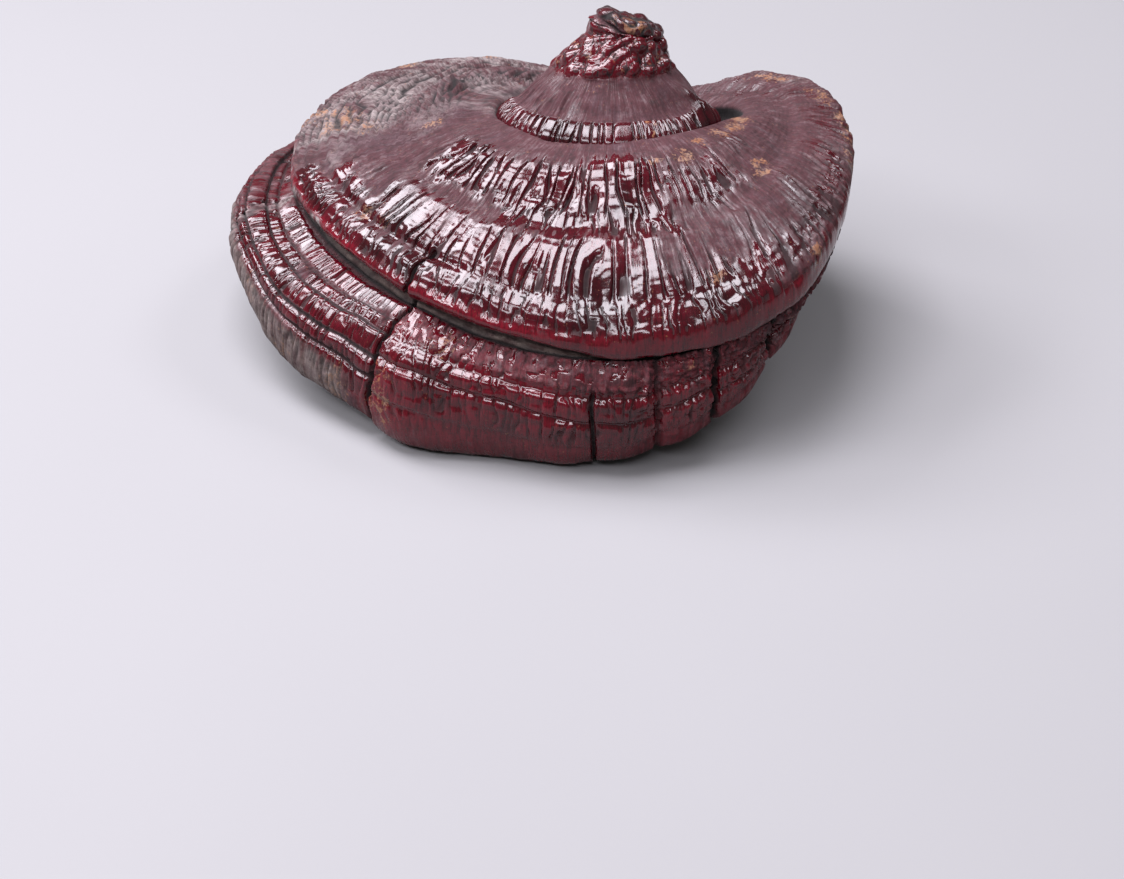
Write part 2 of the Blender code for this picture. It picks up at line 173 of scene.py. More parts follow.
# Varnished patches of the upper tier: from and to azimuth, from and to share, strength. The rest is dusty.
VARNISH = (
    (203, 246, 0.20, 0.43, 1.0), (238, 286, 0.19, 0.56, 1.0), (286, 312, 0.25, 0.46, 0.7),
    (189, 206, 0.75, 0.85, 0.75), (206, 262, 0.56, 0.72, 0.64), (204, 250, 0.66, 0.87, 1.0),
    (246, 281, 0.58, 1.03, 1.0), (184, 262, 0.885, 1.03, 1.0), (279, 302, 0.78, 1.03, 0.85),
    (298, 342, 0.80, 0.98, 0.6),
)
# Hollows in the upper tier: azimuth, share, size and depth.
HOLLOWS = (
    (245, 0.35, 5.0, 0.8), (255, 0.345, 4.5, 0.9), (264, 0.36, 3.0, 0.6), (279.5, 0.365, 6.0, 0.9),
    (269, 0.82, 4.5, 0.6), (284, 0.95, 5.0, 0.4), (216, 0.845, 4.0, 0.6), (224, 0.86, 4.0, 0.6),
    (238, 0.68, 4.0, 0.5), (262, 0.50, 3.5, 0.4), (292, 0.90, 4.0, 0.4), (251, 0.80, 3.5, 0.5),
)
# Bumps on the hub: azimuth, place, size and height.
HUB_BUMPS = (
    (248, 8.05, 2.3, 1.1), (259, 7.95, 2.0, 1.1), (287, 8.0, 1.9, 1.3), (309, 8.0, 1.9, 1.3),
    (333, 8.2, 1.8, 1.0), (226, 8.2, 2.2, 0.8), (222, 6.6, 2.2, 1.2), (243, 6.3, 1.8, 1.0),
    (257, 6.9, 1.9, 0.9), (297, 6.6, 2.2, 1.2), (279, 6.2, 1.8, 0.9), (318, 6.9, 1.8, 0.8),
    (232, 7.3, 1.6, 0.7), (271, 7.3, 1.6, 0.7), (345, 7.0, 2.0, 0.9), (205, 7.5, 2.2, 0.9),
    (20, 7.2, 2.4, 0.9), (60, 7.8, 2.4, 0.9), (110, 7.1, 2.4, 0.9), (150, 7.9, 2.4, 0.9),
)
# Cracks: azimuth, the places where each begins and ends, depth, half width in degrees, and how many degrees
# it leans over per place.
CRACKS = (
    (226.8, 6.9, 17.6, 3.4, 0.75, 0.0), (266.4, 14.0, 17.4, 1.8, 0.5, 0.0),
    (277.6, 12.3, 17.2, 1.0, 0.8, 0.0), (288.5, 11.6, 17.2, 2.2, 0.8, 0.0),
    (301.0, 11.6, 17.2, 2.4, 0.9, 0.0), (311.0, 12.0, 16.5, 1.4, 0.6, 0.0),
    (155.0, 7.5, 16.5, 2.0, 0.7, 0.0), (110.0, 12.0, 17.0, 1.8, 0.8, 0.0),
    (68.0, 8.0, 16.5, 2.2, 1.0, 0.0), (178.5, 12.1, 16.8, 2.0, 0.8, 2.7),
    (286.6, 12.4, 14.1, -0.6, 0.5, 0.0), (275.6, 12.4, 14.2, -0.7, 0.8, 0.0),
)
# The growth ledges of the lower tier: the place where each starts, in a groove, how far it stands out, over
# how much of the way it rises to that, and what share of it is left at its lower end.
LEFT_LEDGES = (
    (12.2, 1.2, 0.09, 0.1), (12.95, 0.8, 0.08, 0.1), (13.4, 1.15, 0.09, 0.35), (14.12, 1.1, 0.14, 0.7),
    (14.52, 0.9, 0.12, 0.6), (17.8, 0.0, 0.1, 0.0),
)
FRONT_LEDGES = (
    (12.08, 1.0, 0.1, 0.0), (12.97, 0.15, 0.1, 0.0), (13.4, 0.85, 0.24, 0.75), (13.98, 0.8, 0.15, 0.8),
    (14.75, 0.4, 0.15, 0.7), (17.8, 0.0, 0.1, 0.0),
)
LEDGE_SLANT = 0.5
LEDGES_END = 14.9
MAIN_CRACK = 226.8
# The seam at the left: azimuth, the place where it starts, and how many degrees it leans over per place.
SEAM = (178.5, 12.1, 2.7)
# Lobes between the cracks, from and to azimuth, and how far the ledges are shifted on some of them.
LOBES = ((266.4, 277.6), (277.6, 288.5), (288.5, 301), (301, 311), (226.8, 242))
LOBE_SHIFTS = ((278, 288.5, 0.1), (288.5, 301, -0.14), (301, 311, 0.08), (311, 340, -0.1))

# The hub's places: where the neck ends, the flare and the rim start, and the last row lies.
NECK_END = 8.4
FLARE_START = 9.0
RIM_START = 10.5
RIM_END = 13.0
# How far the collar's rim is lowered and, as a share, narrowed, and how far the groove rises and moves in.
RIM_DROP = 2.2
RIM_NARROWED = 0.09
GROOVE_RISE = 1.3
GROOVE_IN = 1.2

# How many millimetres of skin one place stands for, about, on the hub and on the lower tier.
HUB_PLACE = 3.2
LOWER_PLACE = 7.0
# How far apart, in millimetres, the fine growth lines lie, and the steps of the underside.
GRAIN_SPACING = 1.9
STEP_SPACING = 8.5
# How far apart the nested ridges in the furrow lie, as a share.
NESTED_SPACING = 0.036

# Tan and orange scuffs: azimuth, share on the upper tier or place on the lower one, size, strength.
UPPER_SCUFFS = (
    (168, 0.78, 9.0, 0.8), (174, 0.62, 6.0, 0.6), (162, 0.97, 7.0, 0.9), (184, 0.27, 3.5, 0.9),
    (205, 0.86, 4.0, 0.6), (211, 0.83, 3.5, 0.5), (334, 0.12, 5.0, 0.9), (322, 0.12, 4.0, 0.8),
    (345, 0.1, 6.0, 0.9), (310, 0.13, 3.5, 0.8), (298, 0.2, 4.0, 0.7), (286, 0.21, 3.0, 0.6),
    (320, 0.46, 5.0, 0.8), (352, 1.0, 6.0, 0.9), (0, 0.98, 6.0, 0.8), (344, 0.98, 3.5, 1.0),
    (12, 0.85, 8.0, 0.75), (32, 0.8, 9.0, 0.75), (291, 0.83, 3.0, 0.8), (313, 0.99, 3.0, 0.8),
    (120, 0.8, 8.0, 0.5), (90, 0.7, 6.0, 0.6), (134, 0.95, 7.0, 0.6),
)
LOWER_SCUFFS = (
    (219, 15.3, 7.0, 1.0), (229, 15.0, 6.0, 0.9), (229.5, 14.2, 4.0, 0.6), (237, 12.9, 6.0, 0.6),
    (207, 15.4, 7.0, 0.6), (197, 15.4, 7.0, 0.5), (283, 13.0, 4.0, 0.5), (305, 13.3, 5.0, 0.6),
)

# Rows of points: from and to which place, then for the hub how many rows, and for the others how far apart
# they lie, and at which azimuth where that isn't the front.
FRONT_AZIMUTH = 262
HUB_ROWS = ((0, 3, 12), (3, 6, 20), (6, 10, 36), (10, 13, 30))
UPPER_ROWS = (
    (0, 3.0, 0.7), (3.0, RING_BROW, 0.72), (RING_BROW, RING_LIP, 0.8), (RING_LIP, RING_SHELF, 0.6, 215),
)
LOWER_ROWS = ((RING_SHELF + 0.02, 14.8, 0.4), (14.8, RING_FOOT, 0.85))
UNDER_ROWS = ((RING_FOOT, RING_PORES, 0.9), (RING_PORES, RING_STEM, 1.3), (RING_STEM, RING_CUT, 0.9))
# Rows out of sight that close a piece: every so many columns of its last row in sight are taken, the share
# of its width they are drawn in to, how far they are lifted, and their distance from the UV map's middle.
HUB_CLOSING = ((3, 0.97, -8.0, 1.05), (9, 0.3, -8.0, 1.1))
UPPER_OPENING = ((18, 0.3, -9.0, 0.65), (18, 0.7, -8.0, 0.7), (6, 0.95, -5.0, 0.75))
UPPER_CLOSING = ((3, 0.93, -0.6, 3.22), (9, 0.55, 0.0, 3.26), (9, 0.2, 0.0, 3.3))
LOWER_OPENING = ((9, 0.25, 0.8, 3.18), (9, 0.6, 0.8, 3.14), (3, 0.95, 0.8, 3.1))

# What each point tells the material, from its fourth value on, and which of these a row out of sight lacks.
# The last of these is a brighter red on steep faces, partly the skin's own red and partly painted light
# making up for the lamplight these faces lack.
# The second of these is painted shade: near-black laid into cracks, grooves, recesses, creases and the gaps
# between ridges, where shade falls.
FIELDS = ("gloss", "painted_shade", "worn", "flesh", "cork", "ash", "ruddy_and_painted_light")
FLESH_AND_CORK = slice(6, 8)


def column_azimuths():
    """The azimuth of each column of points round the cap."""
    turns = (FRONT_START, FRONT_END, FRONT_START + 360)
    return np.interp(np.arange(CAP_COLUMNS), (0, FRONT_COLUMNS, CAP_COLUMNS), turns) % 360


def around(stations, azimuths):
    """The two values given at each station, smoothly carried round the closed outline to the azimuths."""
    table = np.array(stations, float)
    angle = np.concatenate([table[-1:, 0] - 360, table[:, 0], table[:2, 0] + 360])
    value = np.concatenate([table[-1:, 1:], table[:, 1:], table[:2, 1:]])
    step = np.diff(angle)[:, None]
    slope = np.diff(value, axis=0) / step
    tangent = (slope[:-1] * step[1:] + slope[1:] * step[:-1]) / (step[:-1] + step[1:])
    turned = (azimuths - angle[1]) % 360 + angle[1]
    span = np.clip(np.searchsorted(angle, turned, side="right") - 1, 1, len(table))
    length = step[span]
    s = (turned - angle[span])[:, None] / length
    start_tangent = tangent[span - 1] * length
    end_tangent = tangent[span % len(table)] * length
    found = (
        (2 * s**3 - 3 * s**2 + 1) * value[span]
        + (s**3 - 2 * s**2 + s) * start_tangent
        + (3 * s**2 - 2 * s**3) * value[span + 1]
        + (s**3 - s**2) * end_tangent
    )
    return found[:, 0], found[:, 1]


def ring(azimuths, distance, height):
    """The points of one ring."""
    turn = np.radians(azimuths)
    height = np.broadcast_to(height, turn.shape)
    return np.stack([distance * np.cos(turn), distance * np.sin(turn), height], axis=-1)


def hub_rings(azimuths):
    """The hub's key rings, from its tip to the collar's rim."""
    tilt = math.tan(math.radians(HUB_TILT_DEG))
    tip_tilt = math.tan(math.radians(TIP_TILT_DEG))
    rings = []
    for radius, height, lean in HUB:
        points = ring(azimuths, radius, height)
        points[:, 1] *= HUB_FLATTENING
        back = points[:, 1].copy()
        behind = 0.5 * (back + np.hypot(back, HUB_BACK_SOFTNESS) - HUB_BACK_SOFTNESS)
        points[:, 2] -= tilt * back + HUB_BACK_DROP * behind
        if height > NECK_HEIGHT:
            points[:, 2] -= tip_tilt * points[:, 0]
        points[:, 0] += lean
        points[:, 1] += HUB_LEAN_BACK * (height - COLLAR_HEIGHT)
        rings.append(points)
    return np.array(rings)


def cap_rings(azimuths):
    """The key rings from the collar's groove out over both tiers and under to the cut stem."""
    groove, groove_z = around(GROOVE, azimuths)
    brow, brow_z = around(BROW, azimuths)
    skirt, skirt_z = around(SKIRT, azimuths)
    foot, foot_z = around(FOOT, azimuths)
    foot_z = np.maximum(foot_z, 0.0)
    face, recess = around(EDGE, azimuths)
    width = brow - groove
    fall = brow_z - groove_z
    upper_tier = [
        ring(azimuths, groove + share * width, groove_z + share * fall + rise * width / FULL_WIDTH)
        for share, rise in RIPPLES
    ]
    upper_edge = [
        ring(azimuths, brow + beyond, brow_z - face_share * face - recess_share * recess)
        for beyond, face_share, recess_share in UNDER_BROW
    ]
    reach = skirt - brow
    shoulder_z = brow_z - TIER_DROP
    flank_z = shoulder_z + FLANK_BULGE
    lower_tier = [
        ring(azimuths, brow + SHOULDER_REACH * np.maximum(reach, SHOULDER_DRAWN_IN), shoulder_z),
        ring(azimuths, brow + FLANK_REACH * reach, skirt_z + FLANK_HEIGHT * (flank_z - skirt_z)),
        ring(azimuths, skirt, skirt_z),
        ring(azimuths, 0.5 * (skirt + foot) + ROLL_BULGE, skirt_z + ROLL_DEPTH * (foot_z - skirt_z)),
        ring(azimuths, foot, foot_z),
    ]
    pore_z = PORE_LEVEL + PORE_SLOPE * foot_z
    underside = [ring(azimuths, foot - TURN_IN, foot_z + TURN_UP)]
    underside += [
        ring(azimuths, share * foot, foot_z + rise * (pore_z - foot_z)) for share, rise in PORE_RINGS
    ]
    underside += [
        ring(azimuths, STEM_RADIUS + STEM_FLARE, STEM_TOP + STEM_TOP_SLOPE * foot_z),
        ring(azimuths, STEM_RADIUS, STEM_SHOULDER),
        ring(azimuths, STEM_RADIUS, CUT_EDGE),
        ring(azimuths, STEM_RADIUS - CUT_EDGE, 0.0),
    ]
    return np.array(upper_tier + upper_edge + lower_tier + underside)


def along(keys, places):
    """Points at a grid of places on the smooth curves that run through the key rings."""
    first = 2 * keys[:1] - keys[1:2]
    last = 2 * keys[-1:] - keys[-2:-1]
    padded = np.concatenate([first, keys, last])
    number = np.clip(np.floor(places).astype(int), 0, len(keys) - 2)
    column = np.arange(keys.shape[1])[None, :]
    points = [padded[number + k, column] for k in range(4)]
    knots = [np.zeros(number.shape)]
    for point, following in zip(points, points[1:]):
        knots.append(knots[-1] + np.sqrt(np.linalg.norm(following - point, axis=-1) + 1e-9))
    t = (knots[1] + (knots[2] - knots[1]) * (places - number))[..., None]
    knots = [knot[..., None] for knot in knots]
    # four points are drawn together to three, to two and to one
    for start, apart in ((0, 1), (0, 2), (1, 1)):
        pairs = zip(points, points[1:], knots[start:], knots[start + apart:])
        points = [((high - t) * p + (t - low) * q) / (high - low) for p, q, low, high in pairs]
    return points[0]


def outward(rows):
    """The surface's outward direction at each point of a grid of rows that closes round the axis."""
    down = np.gradient(rows, axis=0)
    sideways = np.roll(rows, -1, axis=1) - np.roll(rows, 1, axis=1)
    normal = np.cross(down, sideways)
    return normal / np.maximum(np.linalg.norm(normal, axis=2, keepdims=True), 1e-9)


def raise_by(rows, height):
    return rows + outward(rows) * height[:, :, None]


def radius_of(rows):
    """Each point's distance from the axis."""
    return np.hypot(rows[..., 0], rows[..., 1])


def unit(value):
    """The value, kept from 0 to 1."""
    return np.clip(value, 0, 1)


def highest(*layers):
    """The highest of all layers at each point."""
    return np.maximum.reduce(np.broadcast_arrays(*layers))


def lumps(points, size, seed):
    """Smooth noise from -1 to 1 at each point, its swells about size apart."""
    spots = (points / size + np.array((seed, 2.7 * seed, -1.3 * seed))).reshape(-1, 3).tolist()
    return np.array([noise.noise(spot) for spot in spots]).reshape(points.shape[:-1])


def streaks(azimuths, reach, count, length, seed):
    """Noise drawn out along the radius: about count swells round the cap, each about length long."""
    turn = np.radians(azimuths)
    radius = count / math.pi
    spots = np.broadcast_arrays(radius * np.cos(turn), radius * np.sin(turn), reach / length)
    return lumps(np.stack(spots, axis=-1), 1.0, seed)


def angle_from(azimuths, middle):
    """How many degrees each azimuth lies from the middle, from -180 to 180."""
    return (azimuths - middle + 180) % 360 - 180


def swell(azimuths, middle, reach):
    """1 at the middle azimuth, falling smoothly to 0 at the reach on each side."""
    return np.cos(0.5 * math.pi * np.clip(angle_from(azimuths, middle) / reach, -1, 1)) ** 2


def smooth(value, low, high):
    """0 below low, 1 above high, eased between."""
    t = unit((value - low) / (high - low))
    return t * t * (3 - 2 * t)


def fall(value, low, high):
    """1 below low, 0 above high, eased between."""
    return 1 - smooth(value, low, high)


def window(value, low, full, end, high):
    """0 below low and above high, 1 from full to end, eased between."""
    return smooth(value, low, full) * fall(value, end, high)


def bell(value, middle, width):
    """1 at the middle, falling off like a bell on both sides."""
    return np.exp(-(((value - middle) / width) ** 2))


def sector(azimuths, start, end, fade):
    """1 between two azimuths, counted upwards, fading to 0 outside them."""
    half = 0.5 * ((end - start) % 360)
    return fall(np.abs(angle_from(azimuths, start + half)) - half, 0, fade)


def right_of(azimuths, line, width, fade):
    """1 over some degrees to the right of a line, fading to 0 further on, and 0 to its left."""
    beside = angle_from(azimuths, line)
    return sector(beside % 360, 0, width, fade) * (beside > 0)


def between(places, start, end, fade=0.5):
    """1 between two places, fading to 0 just outside them."""
    return unit((places - start) / fade + 1) * unit((end - places) / fade + 1)


def blot(azimuths, way, radius, where, at, size, scale=FULL_WIDTH, core=0.35):
    """A round patch: 1 over the core's share of its size, 0 at its size from its middle. The scale turns a
    way, which is a share or a place, into millimetres."""
    across = radius * np.radians(angle_from(azimuths, where))
    return fall(np.hypot(across, (way - at) * scale), core * size, size)


def marked(marks, azimuths, way, radius, **shape):
    """The strongest of the marks' round patches at each point."""
    return highest(*(
        strength * blot(azimuths, way, radius, *spot, **shape) for *spot, strength in marks
    ))


def furrow_middle(azimuths):
    """The share at which the furrow behind the hub lies."""
    return np.interp(azimuths, *np.array(FURROW, float).T[:2])


def furrow(share, azimuths):
    """The depth of the furrow behind the hub, steep on its outer side."""
    table = np.array(FURROW, float).T
    middle = furrow_middle(azimuths)
    depth = np.interp(azimuths, table[0], table[2], left=0.0, right=0.0)
    return depth * bell(share, middle, np.where(share < middle, FURROW_INNER_WIDTH, FURROW_OUTER_WIDTH))


def share_of(places):
    """The share of the way from the groove to the brow."""
    return np.interp(places, range(len(RIPPLES)), [ripple[0] for ripple in RIPPLES])


def cracks(places, azimuths):
    """The depth of the radial cracks, each with a little wander and one sharp bottom."""
    depth_here = np.zeros(places.shape)
    for number, (azimuth, start, end, depth, half, lean) in enumerate(CRACKS):
        near = np.abs(angle_from(azimuths[0], azimuth + lean * 2.2)) < 5.0 + 3 * abs(lean)
        here = np.ix_(np.arange(places.shape[0]), np.where(near)[0])
        p = places[here]
        spots = np.stack([p * 1.3, np.full(p.shape, 3.0 * number), np.zeros(p.shape)], axis=-1)
        middle = azimuth + lean * (p - start) + 0.9 * lumps(spots, 1.0, 11.0)
        beside = np.abs(angle_from(azimuths[here], middle)) / half
        depth_here[here] += depth * unit(1 - beside) ** 0.7 * between(p, start, end)
    return depth_here


def pebbles(azimuths, reach, count, length, seed):
    """Long rounded ridges packed side by side along the radius: 1 on their backs, 0 in their furrows."""
    bend = 0.9 * streaks(azimuths, reach, count / 3, 2.2 * length, 0.1 * seed)
    across = (np.broadcast_to(azimuths, reach.shape) / 360 * count + bend) % count
    out = reach / length + 40
    spots = np.random.default_rng(seed).random((count, 160, 2))
    column = np.floor(across).astype(int)
    row = np.floor(out).astype(int)
    nearest = np.full(across.shape, 9.0)
    second = nearest.copy()
    for i in (-1, 0, 1):
        for j in (-1, 0, 1):
            spot = spots[(column + i) % count, (row + j) % 160]
            beside = column + i + 0.15 + 0.7 * spot[..., 0] - across
            beyond = row + j + 0.1 + 0.8 * spot[..., 1] - out
            gap = np.hypot(beside, beyond)
            second = np.minimum(second, np.maximum(nearest, gap))
            nearest = np.minimum(nearest, gap)
    return smooth(second - nearest, 0.0, 0.62)


def combed(azimuths, reach, count, length, seed, openness, cut):
    """Flat-backed ridges side by side along the radius: 1 on their backs, 0 in the gaps. The gaps open and
    close along the way, more of them where openness is high, and the ridges are cut across into lengths."""
    bend = 0.7 * streaks(azimuths, reach, count / 5, 3.0 * length, 0.1 * seed)
    bend += 0.36 * streaks(azimuths, reach, count / 1.5, 1.1 * length, 0.1 * seed + 5)
    across = (np.broadcast_to(azimuths, reach.shape) / 360 * count + 2 * bend) % count
    column = np.floor(across).astype(int) % count
    beside = across - np.floor(across) - 0.5
    chance = np.random.default_rng(seed).random((3, count, 64))
    ridge = np.ones(reach.shape)
    for side, gap in ((1, column + 1), (-1, column)):
        out = reach / length + 7.0 * chance[0, gap % count, 0]
        row = np.floor(out).astype(int)
        between_rows = smooth(out - row, 0, 1)
        width = chance[1, gap % count, row % 64]
        width = width + (chance[1, gap % count, (row + 1) % 64] - width) * between_rows
        gap_open = smooth(width + openness, 0.62, 1.05)
        start = 0.72 - 0.42 * unit(openness) * width
        shoulder = unit((2 * side * beside - start) / (1 - start))
        ridge = ridge - gap_open * shoulder**1.25
    out = reach / length + 5.0 * chance[2, column, 1]
    along_it = out - np.floor(out)
    end = 1 - smooth(np.minimum(along_it, 1 - along_it), 0.0, 0.28)
    tall = chance[2, column, np.floor(out).astype(int) % 64]
    back = 1 - (2 * np.abs(beside)) ** 4
    ridge = unit(ridge - cut * end * (tall > 0.25) * back)
    hump = 0.67 - (2 * along_it - 1) ** 2
    return ridge + back * ridge * (0.25 * cut * hump + 0.35 * (tall - 0.5) * (1 - end))


def ledge_layers(places, ledges):
    """The height of growth ledges, each of which rises from a groove, falls off slowly and ends in the next
    groove, and how near each place is to a groove, and to the shoulder below it, from 0 to 1."""
    height, groove, shoulder = (np.zeros(places.shape) for _ in range(3))
    for (start, depth, rise, left_over), (end, *_) in zip(ledges, ledges[1:]):
        up = unit((places - start) / rise)
        along_it = unit((places - start - rise) / (end - start - rise))
        step = (0.8 * up + 0.2 * smooth(up, 0, 1)) * (1 - (1 - left_over) * along_it)
        step = step * fall(places, end - 0.06, end)
        height = np.where((places > start) & (places < end), depth * step, height)
        below = (places - start) / min(end - start, 0.72)
        shoulder = np.maximum(shoulder, window(below, 0.0, 0.12, 0.75, 1.0))
        groove = np.maximum(groove, min(depth, 1.0) * fall(np.abs(places - start), 0.02, 0.1))
    return height, groove, shoulder


def spaced_places(start, end, spacing, azimuth=FRONT_AZIMUTH):
    """Places between two key rings, evenly spaced along the skin at one azimuth."""
    fine = np.linspace(start, end, 4000)[:, None]
    line = along(cap_rings(np.array([float(azimuth), azimuth + 0.1])), np.repeat(fine, 2, axis=1))[:, 0]
    length = np.concatenate([[0], np.cumsum(np.linalg.norm(np.diff(line, axis=0), axis=1))])
    count = max(2, round(length[-1] / spacing))
    return np.interp(np.linspace(0, length[-1], count + 1), length, fine[:, 0])


def joined(stretches):
    """One list of places out of stretches that each start where the one before ends."""
    return np.concatenate([*(stretch[:-1] for stretch in stretches[:-1]), stretches[-1]])


def grid(levels, azimuths):
    """The place and the azimuth of every point of a grid."""
    places = np.repeat(levels[:, None], len(azimuths), axis=1)
    return places, np.broadcast_to(azimuths, places.shape)


def fields(rows, *values):
    """Rows of points with further values beside each point's x, y and z."""
    return np.concatenate([rows] + [np.broadcast_to(v, rows.shape[:2])[..., None] for v in values], axis=2)


def hidden_rows(row, height, table):
    """Rows inside the cap that help close a piece, drawn in, lifted and pulled towards a height."""
    made = []
    for columns, share_in, lift, polar in table:
        hidden = row[::columns].copy()
        hidden[:, :2] *= share_in
        hidden[:, 2] = share_in * (hidden[:, 2] + lift) + (1 - share_in) * height
        hidden[:, FLESH_AND_CORK] = 0
        hidden[:, -1] = polar
        made.append(hidden)
    return made


# ---------------------------------------------------------------- the hub

def hub_skin(azimuths):
    """The hub's rows with all their fields, from the tip to the collar's rim."""
    keys = hub_rings(azimuths)
    centre = keys[0].mean(axis=0)
    keys = np.concatenate([[centre + 0.3 * (keys[0] - centre) + (0, 0, 0.1)], keys])
    places, turned = grid(joined([np.linspace(*stretch) for stretch in HUB_ROWS]), azimuths)
    rows = along(keys, places)
    under_tip = 4.55 + 0.65 * np.cos(np.radians(turned))
    tip = fall(places, under_tip - 0.6, under_tip - 0.1)
    neck = window(places, under_tip, under_tip + 0.5, NECK_END, NECK_END + 0.5)
    knobs = 0.45 * lumps(rows, 3.2, 5.0) + 0.5 * np.abs(lumps(rows, 2.4, 65.0))
    raised = (knobs + 0.22 * lumps(rows, 1.5, 69.0)) * neck + 0.35 * lumps(rows, 7.0, 6.0)
    creases = np.abs(lumps(rows, 3.4, 66.0)) ** 0.5
    raised += (0.9 * lumps(rows, 3.6, 7.0) + 1.1 * (creases - 0.4) + 0.3 * lumps(rows, 1.3, 8.0)) * tip
    beads = np.zeros(places.shape)
    radius = radius_of(rows)
    for where, at, size, height in HUB_BUMPS:
        across = radius * np.radians(angle_from(turned, where))
        down = (places - at) * HUB_PLACE
        beads = np.maximum(beads, height * unit(1 - (across**2 + down**2) / size**2) ** 0.7)
    raised += beads
    # folds that curl round the neck
    curl = np.abs(np.sin(2.0 * np.radians(turned) + 2.6 * places + 2.4 * lumps(rows, 8.0, 10.0)))
    raised += 0.7 * (np.sqrt(curl) - 0.7) * neck
    # the split under the tip, which at the left runs over into the neck
    ragged = places - under_tip + 0.35 * lumps(rows, 3.0, 9.0)
    split = bell(ragged, 0, 0.2) * (0.3 + 0.7 * sector(turned, 240, 340, 25))
    filled = sector(turned, 130, 268, 30) * bell(places, 5.0, 0.7)
    raised += 1.3 * filled - split
    # the teeth of the collar's rim, and the fine lines that run down to them
    rim = smooth(places, RIM_START, 10.9)
    teeth = combed(turned, 3.0 * places, 74, 9.0, 12, 1.05, 0.0)
    bevel = 2.7 * unit((places - 10.6) / 1.7)
    raised += (bevel + 1.1 * (teeth - 0.6) * rim) * fall(places, 12.4, RIM_END)
    lines = (0.2 + 0.5 * sector(turned, 175, 235, 20)) * streaks(turned, places, 66, 2.2, 13.0)
    raised += lines * smooth(places, FLARE_START, 10.0) * (1 - rim)
    # at the right a fold runs down to the rim, with a trough before it and a channel behind it
    fold = bell(angle_from(turned, 338 + 6 * (places - 11)), 0, 10.0) * smooth(places, 8.8, 10.2)
    channel = swell(turned, 12, 26) * smooth(places, FLARE_START, RIM_START)
    raised += 2.0 * fold
    raised -= 1.6 * channel
    raised -= 0.8 * swell(turned, 310, 22) * bell(places, 10.2, 0.6)
    raised += 0.5 * swell(turned, 255, 60) * bell(places, 9.9, 0.35)
    rows = raise_by(rows, raised)
    # the rim reaches down to the roll round it
    rows[:, :, 2] -= RIM_DROP * (smooth(places, FLARE_START, 12.0) * (1 - swell(turned, 70, 80)))
    narrowed = RIM_NARROWED + 0.09 * swell(turned, 0, 90)
    rows[:, :, 0] *= 1 - narrowed * smooth(places, FLARE_START, 11.5)
    gloss = highest(
        neck * (0.85 + 0.5 * lumps(rows, 3.5, 14.0)), smooth(beads, 0.15, 0.5),
        rim * (1 - 0.8 * swell(turned, 60, 100)), 0.26 + 0.3 * lumps(rows, 6.0, 15.0),
        0.75 * fold * smooth(places, FLARE_START, 9.6) * fall(places, 10.6, 11.2), 0.64 * tip,
    )
    # painted shade: near-black in the split under the tip, under the rim, between its teeth, in the channel
    # and in the creases of the tip and the neck
    painted_shade = highest(
        split, smooth(places, 12.6, RIM_END), 0.66 * rim * smooth(1 - teeth, 0.2, 0.8), channel,
        0.9 * tip * smooth(0.5 - creases, 0, 0.25), 0.9 * neck * smooth(0.4 - np.sqrt(curl), 0, 0.25),
        0.8 * neck * smooth(0.1 - np.abs(lumps(rows, 2.4, 65.0)), 0.0, 0.06),
    )
    front_tip = tip * swell(turned, 275, 75)
    worn = highest(
        0.8 * rim * swell(turned, 291, 9) * smooth(lumps(rows, 2.0, 18.0), -0.1, 0.3),
        0.5 * neck * smooth(lumps(rows, 2.6, 16.0), 0.25, 0.5),
        0.9 * front_tip * smooth(lumps(rows, 2.0, 17.0), -0.1, 0.3),
    )
    corky = 0.6 * front_tip * smooth(lumps(rows, 2.2, 67.0), -0.2, 0.4)
    # the neck gets a little of the brighter red, partly the skin's own red and partly painted light
    return fields(rows, gloss, painted_shade, worn, 0.0, corky, 0.1 + 0.5 * fold, 0.35 * neck, places / RIM_END)


def hub_piece():
    """All fields of the hub and its collar, closed underneath, out of sight."""
    hub = hub_skin(np.arange(HUB_COLUMNS) * 360.0 / HUB_COLUMNS)
    tip = [row[::3] for row in hub[:6]]
    return stitched([*tip, *hub[6:], *hidden_rows(hub[-1], 40.0, HUB_CLOSING)])


# ---------------------------------------------------------------- the upper tier

def upper_relief(rows, places, azimuths):
    """The large forms of the cap's relief, as the solid has them."""
    share = share_of(places)
    raised = LUMP_HEIGHT * lumps(rows, LUMP_SIZE, 1.0) * unit(places - 0.5)
    middle, reach, depth = CREVICE
    raised -= depth * swell(azimuths, middle, reach) * unit(1 - places)
    for middle, line, reach, width, depth in GROWTH_LINES:
        groove = bell(share, line, width) * (places < RING_BROW)
        raised -= depth * groove * swell(azimuths, middle, reach)
    raised -= furrow(share, azimuths)
    for middle, line, reach, width, height in FOLDS:
        raised += height * swell(azimuths, middle, reach) * bell(share, line, width)
    return raised


def varnish(azimuths, share, rows, radius):
    """Where the upper tier is varnished, from 0 to 1, in patches with ragged edges."""
    out = share * FULL_WIDTH
    ragged = 2.6 * lumps(rows, 8.0, 21.0) + 0.8 * lumps(rows, 3.0, 22.0)
    ragged += 3.6 * streaks(azimuths, out, 130, 14.0, 23.0)
    found = 0.14 + 0.2 * sector(azimuths, 228, 50, 24) + 0.36 * lumps(rows, 12.0, 24.0)
    found += 0.16 * streaks(azimuths, out, 70, 16.0, 26.0)
    found = np.minimum(found, 0.5)
    for first, last, start, end, strength in VARNISH:
        half = 0.5 * (last - first)
        across = radius * np.radians(half - np.abs(angle_from(azimuths, first + half)))
        inward = np.minimum(share - start, end - share) * FULL_WIDTH
        found = np.maximum(found, strength * smooth(np.minimum(across, inward) + ragged, -4.2, 2.6))
    return unit(found)


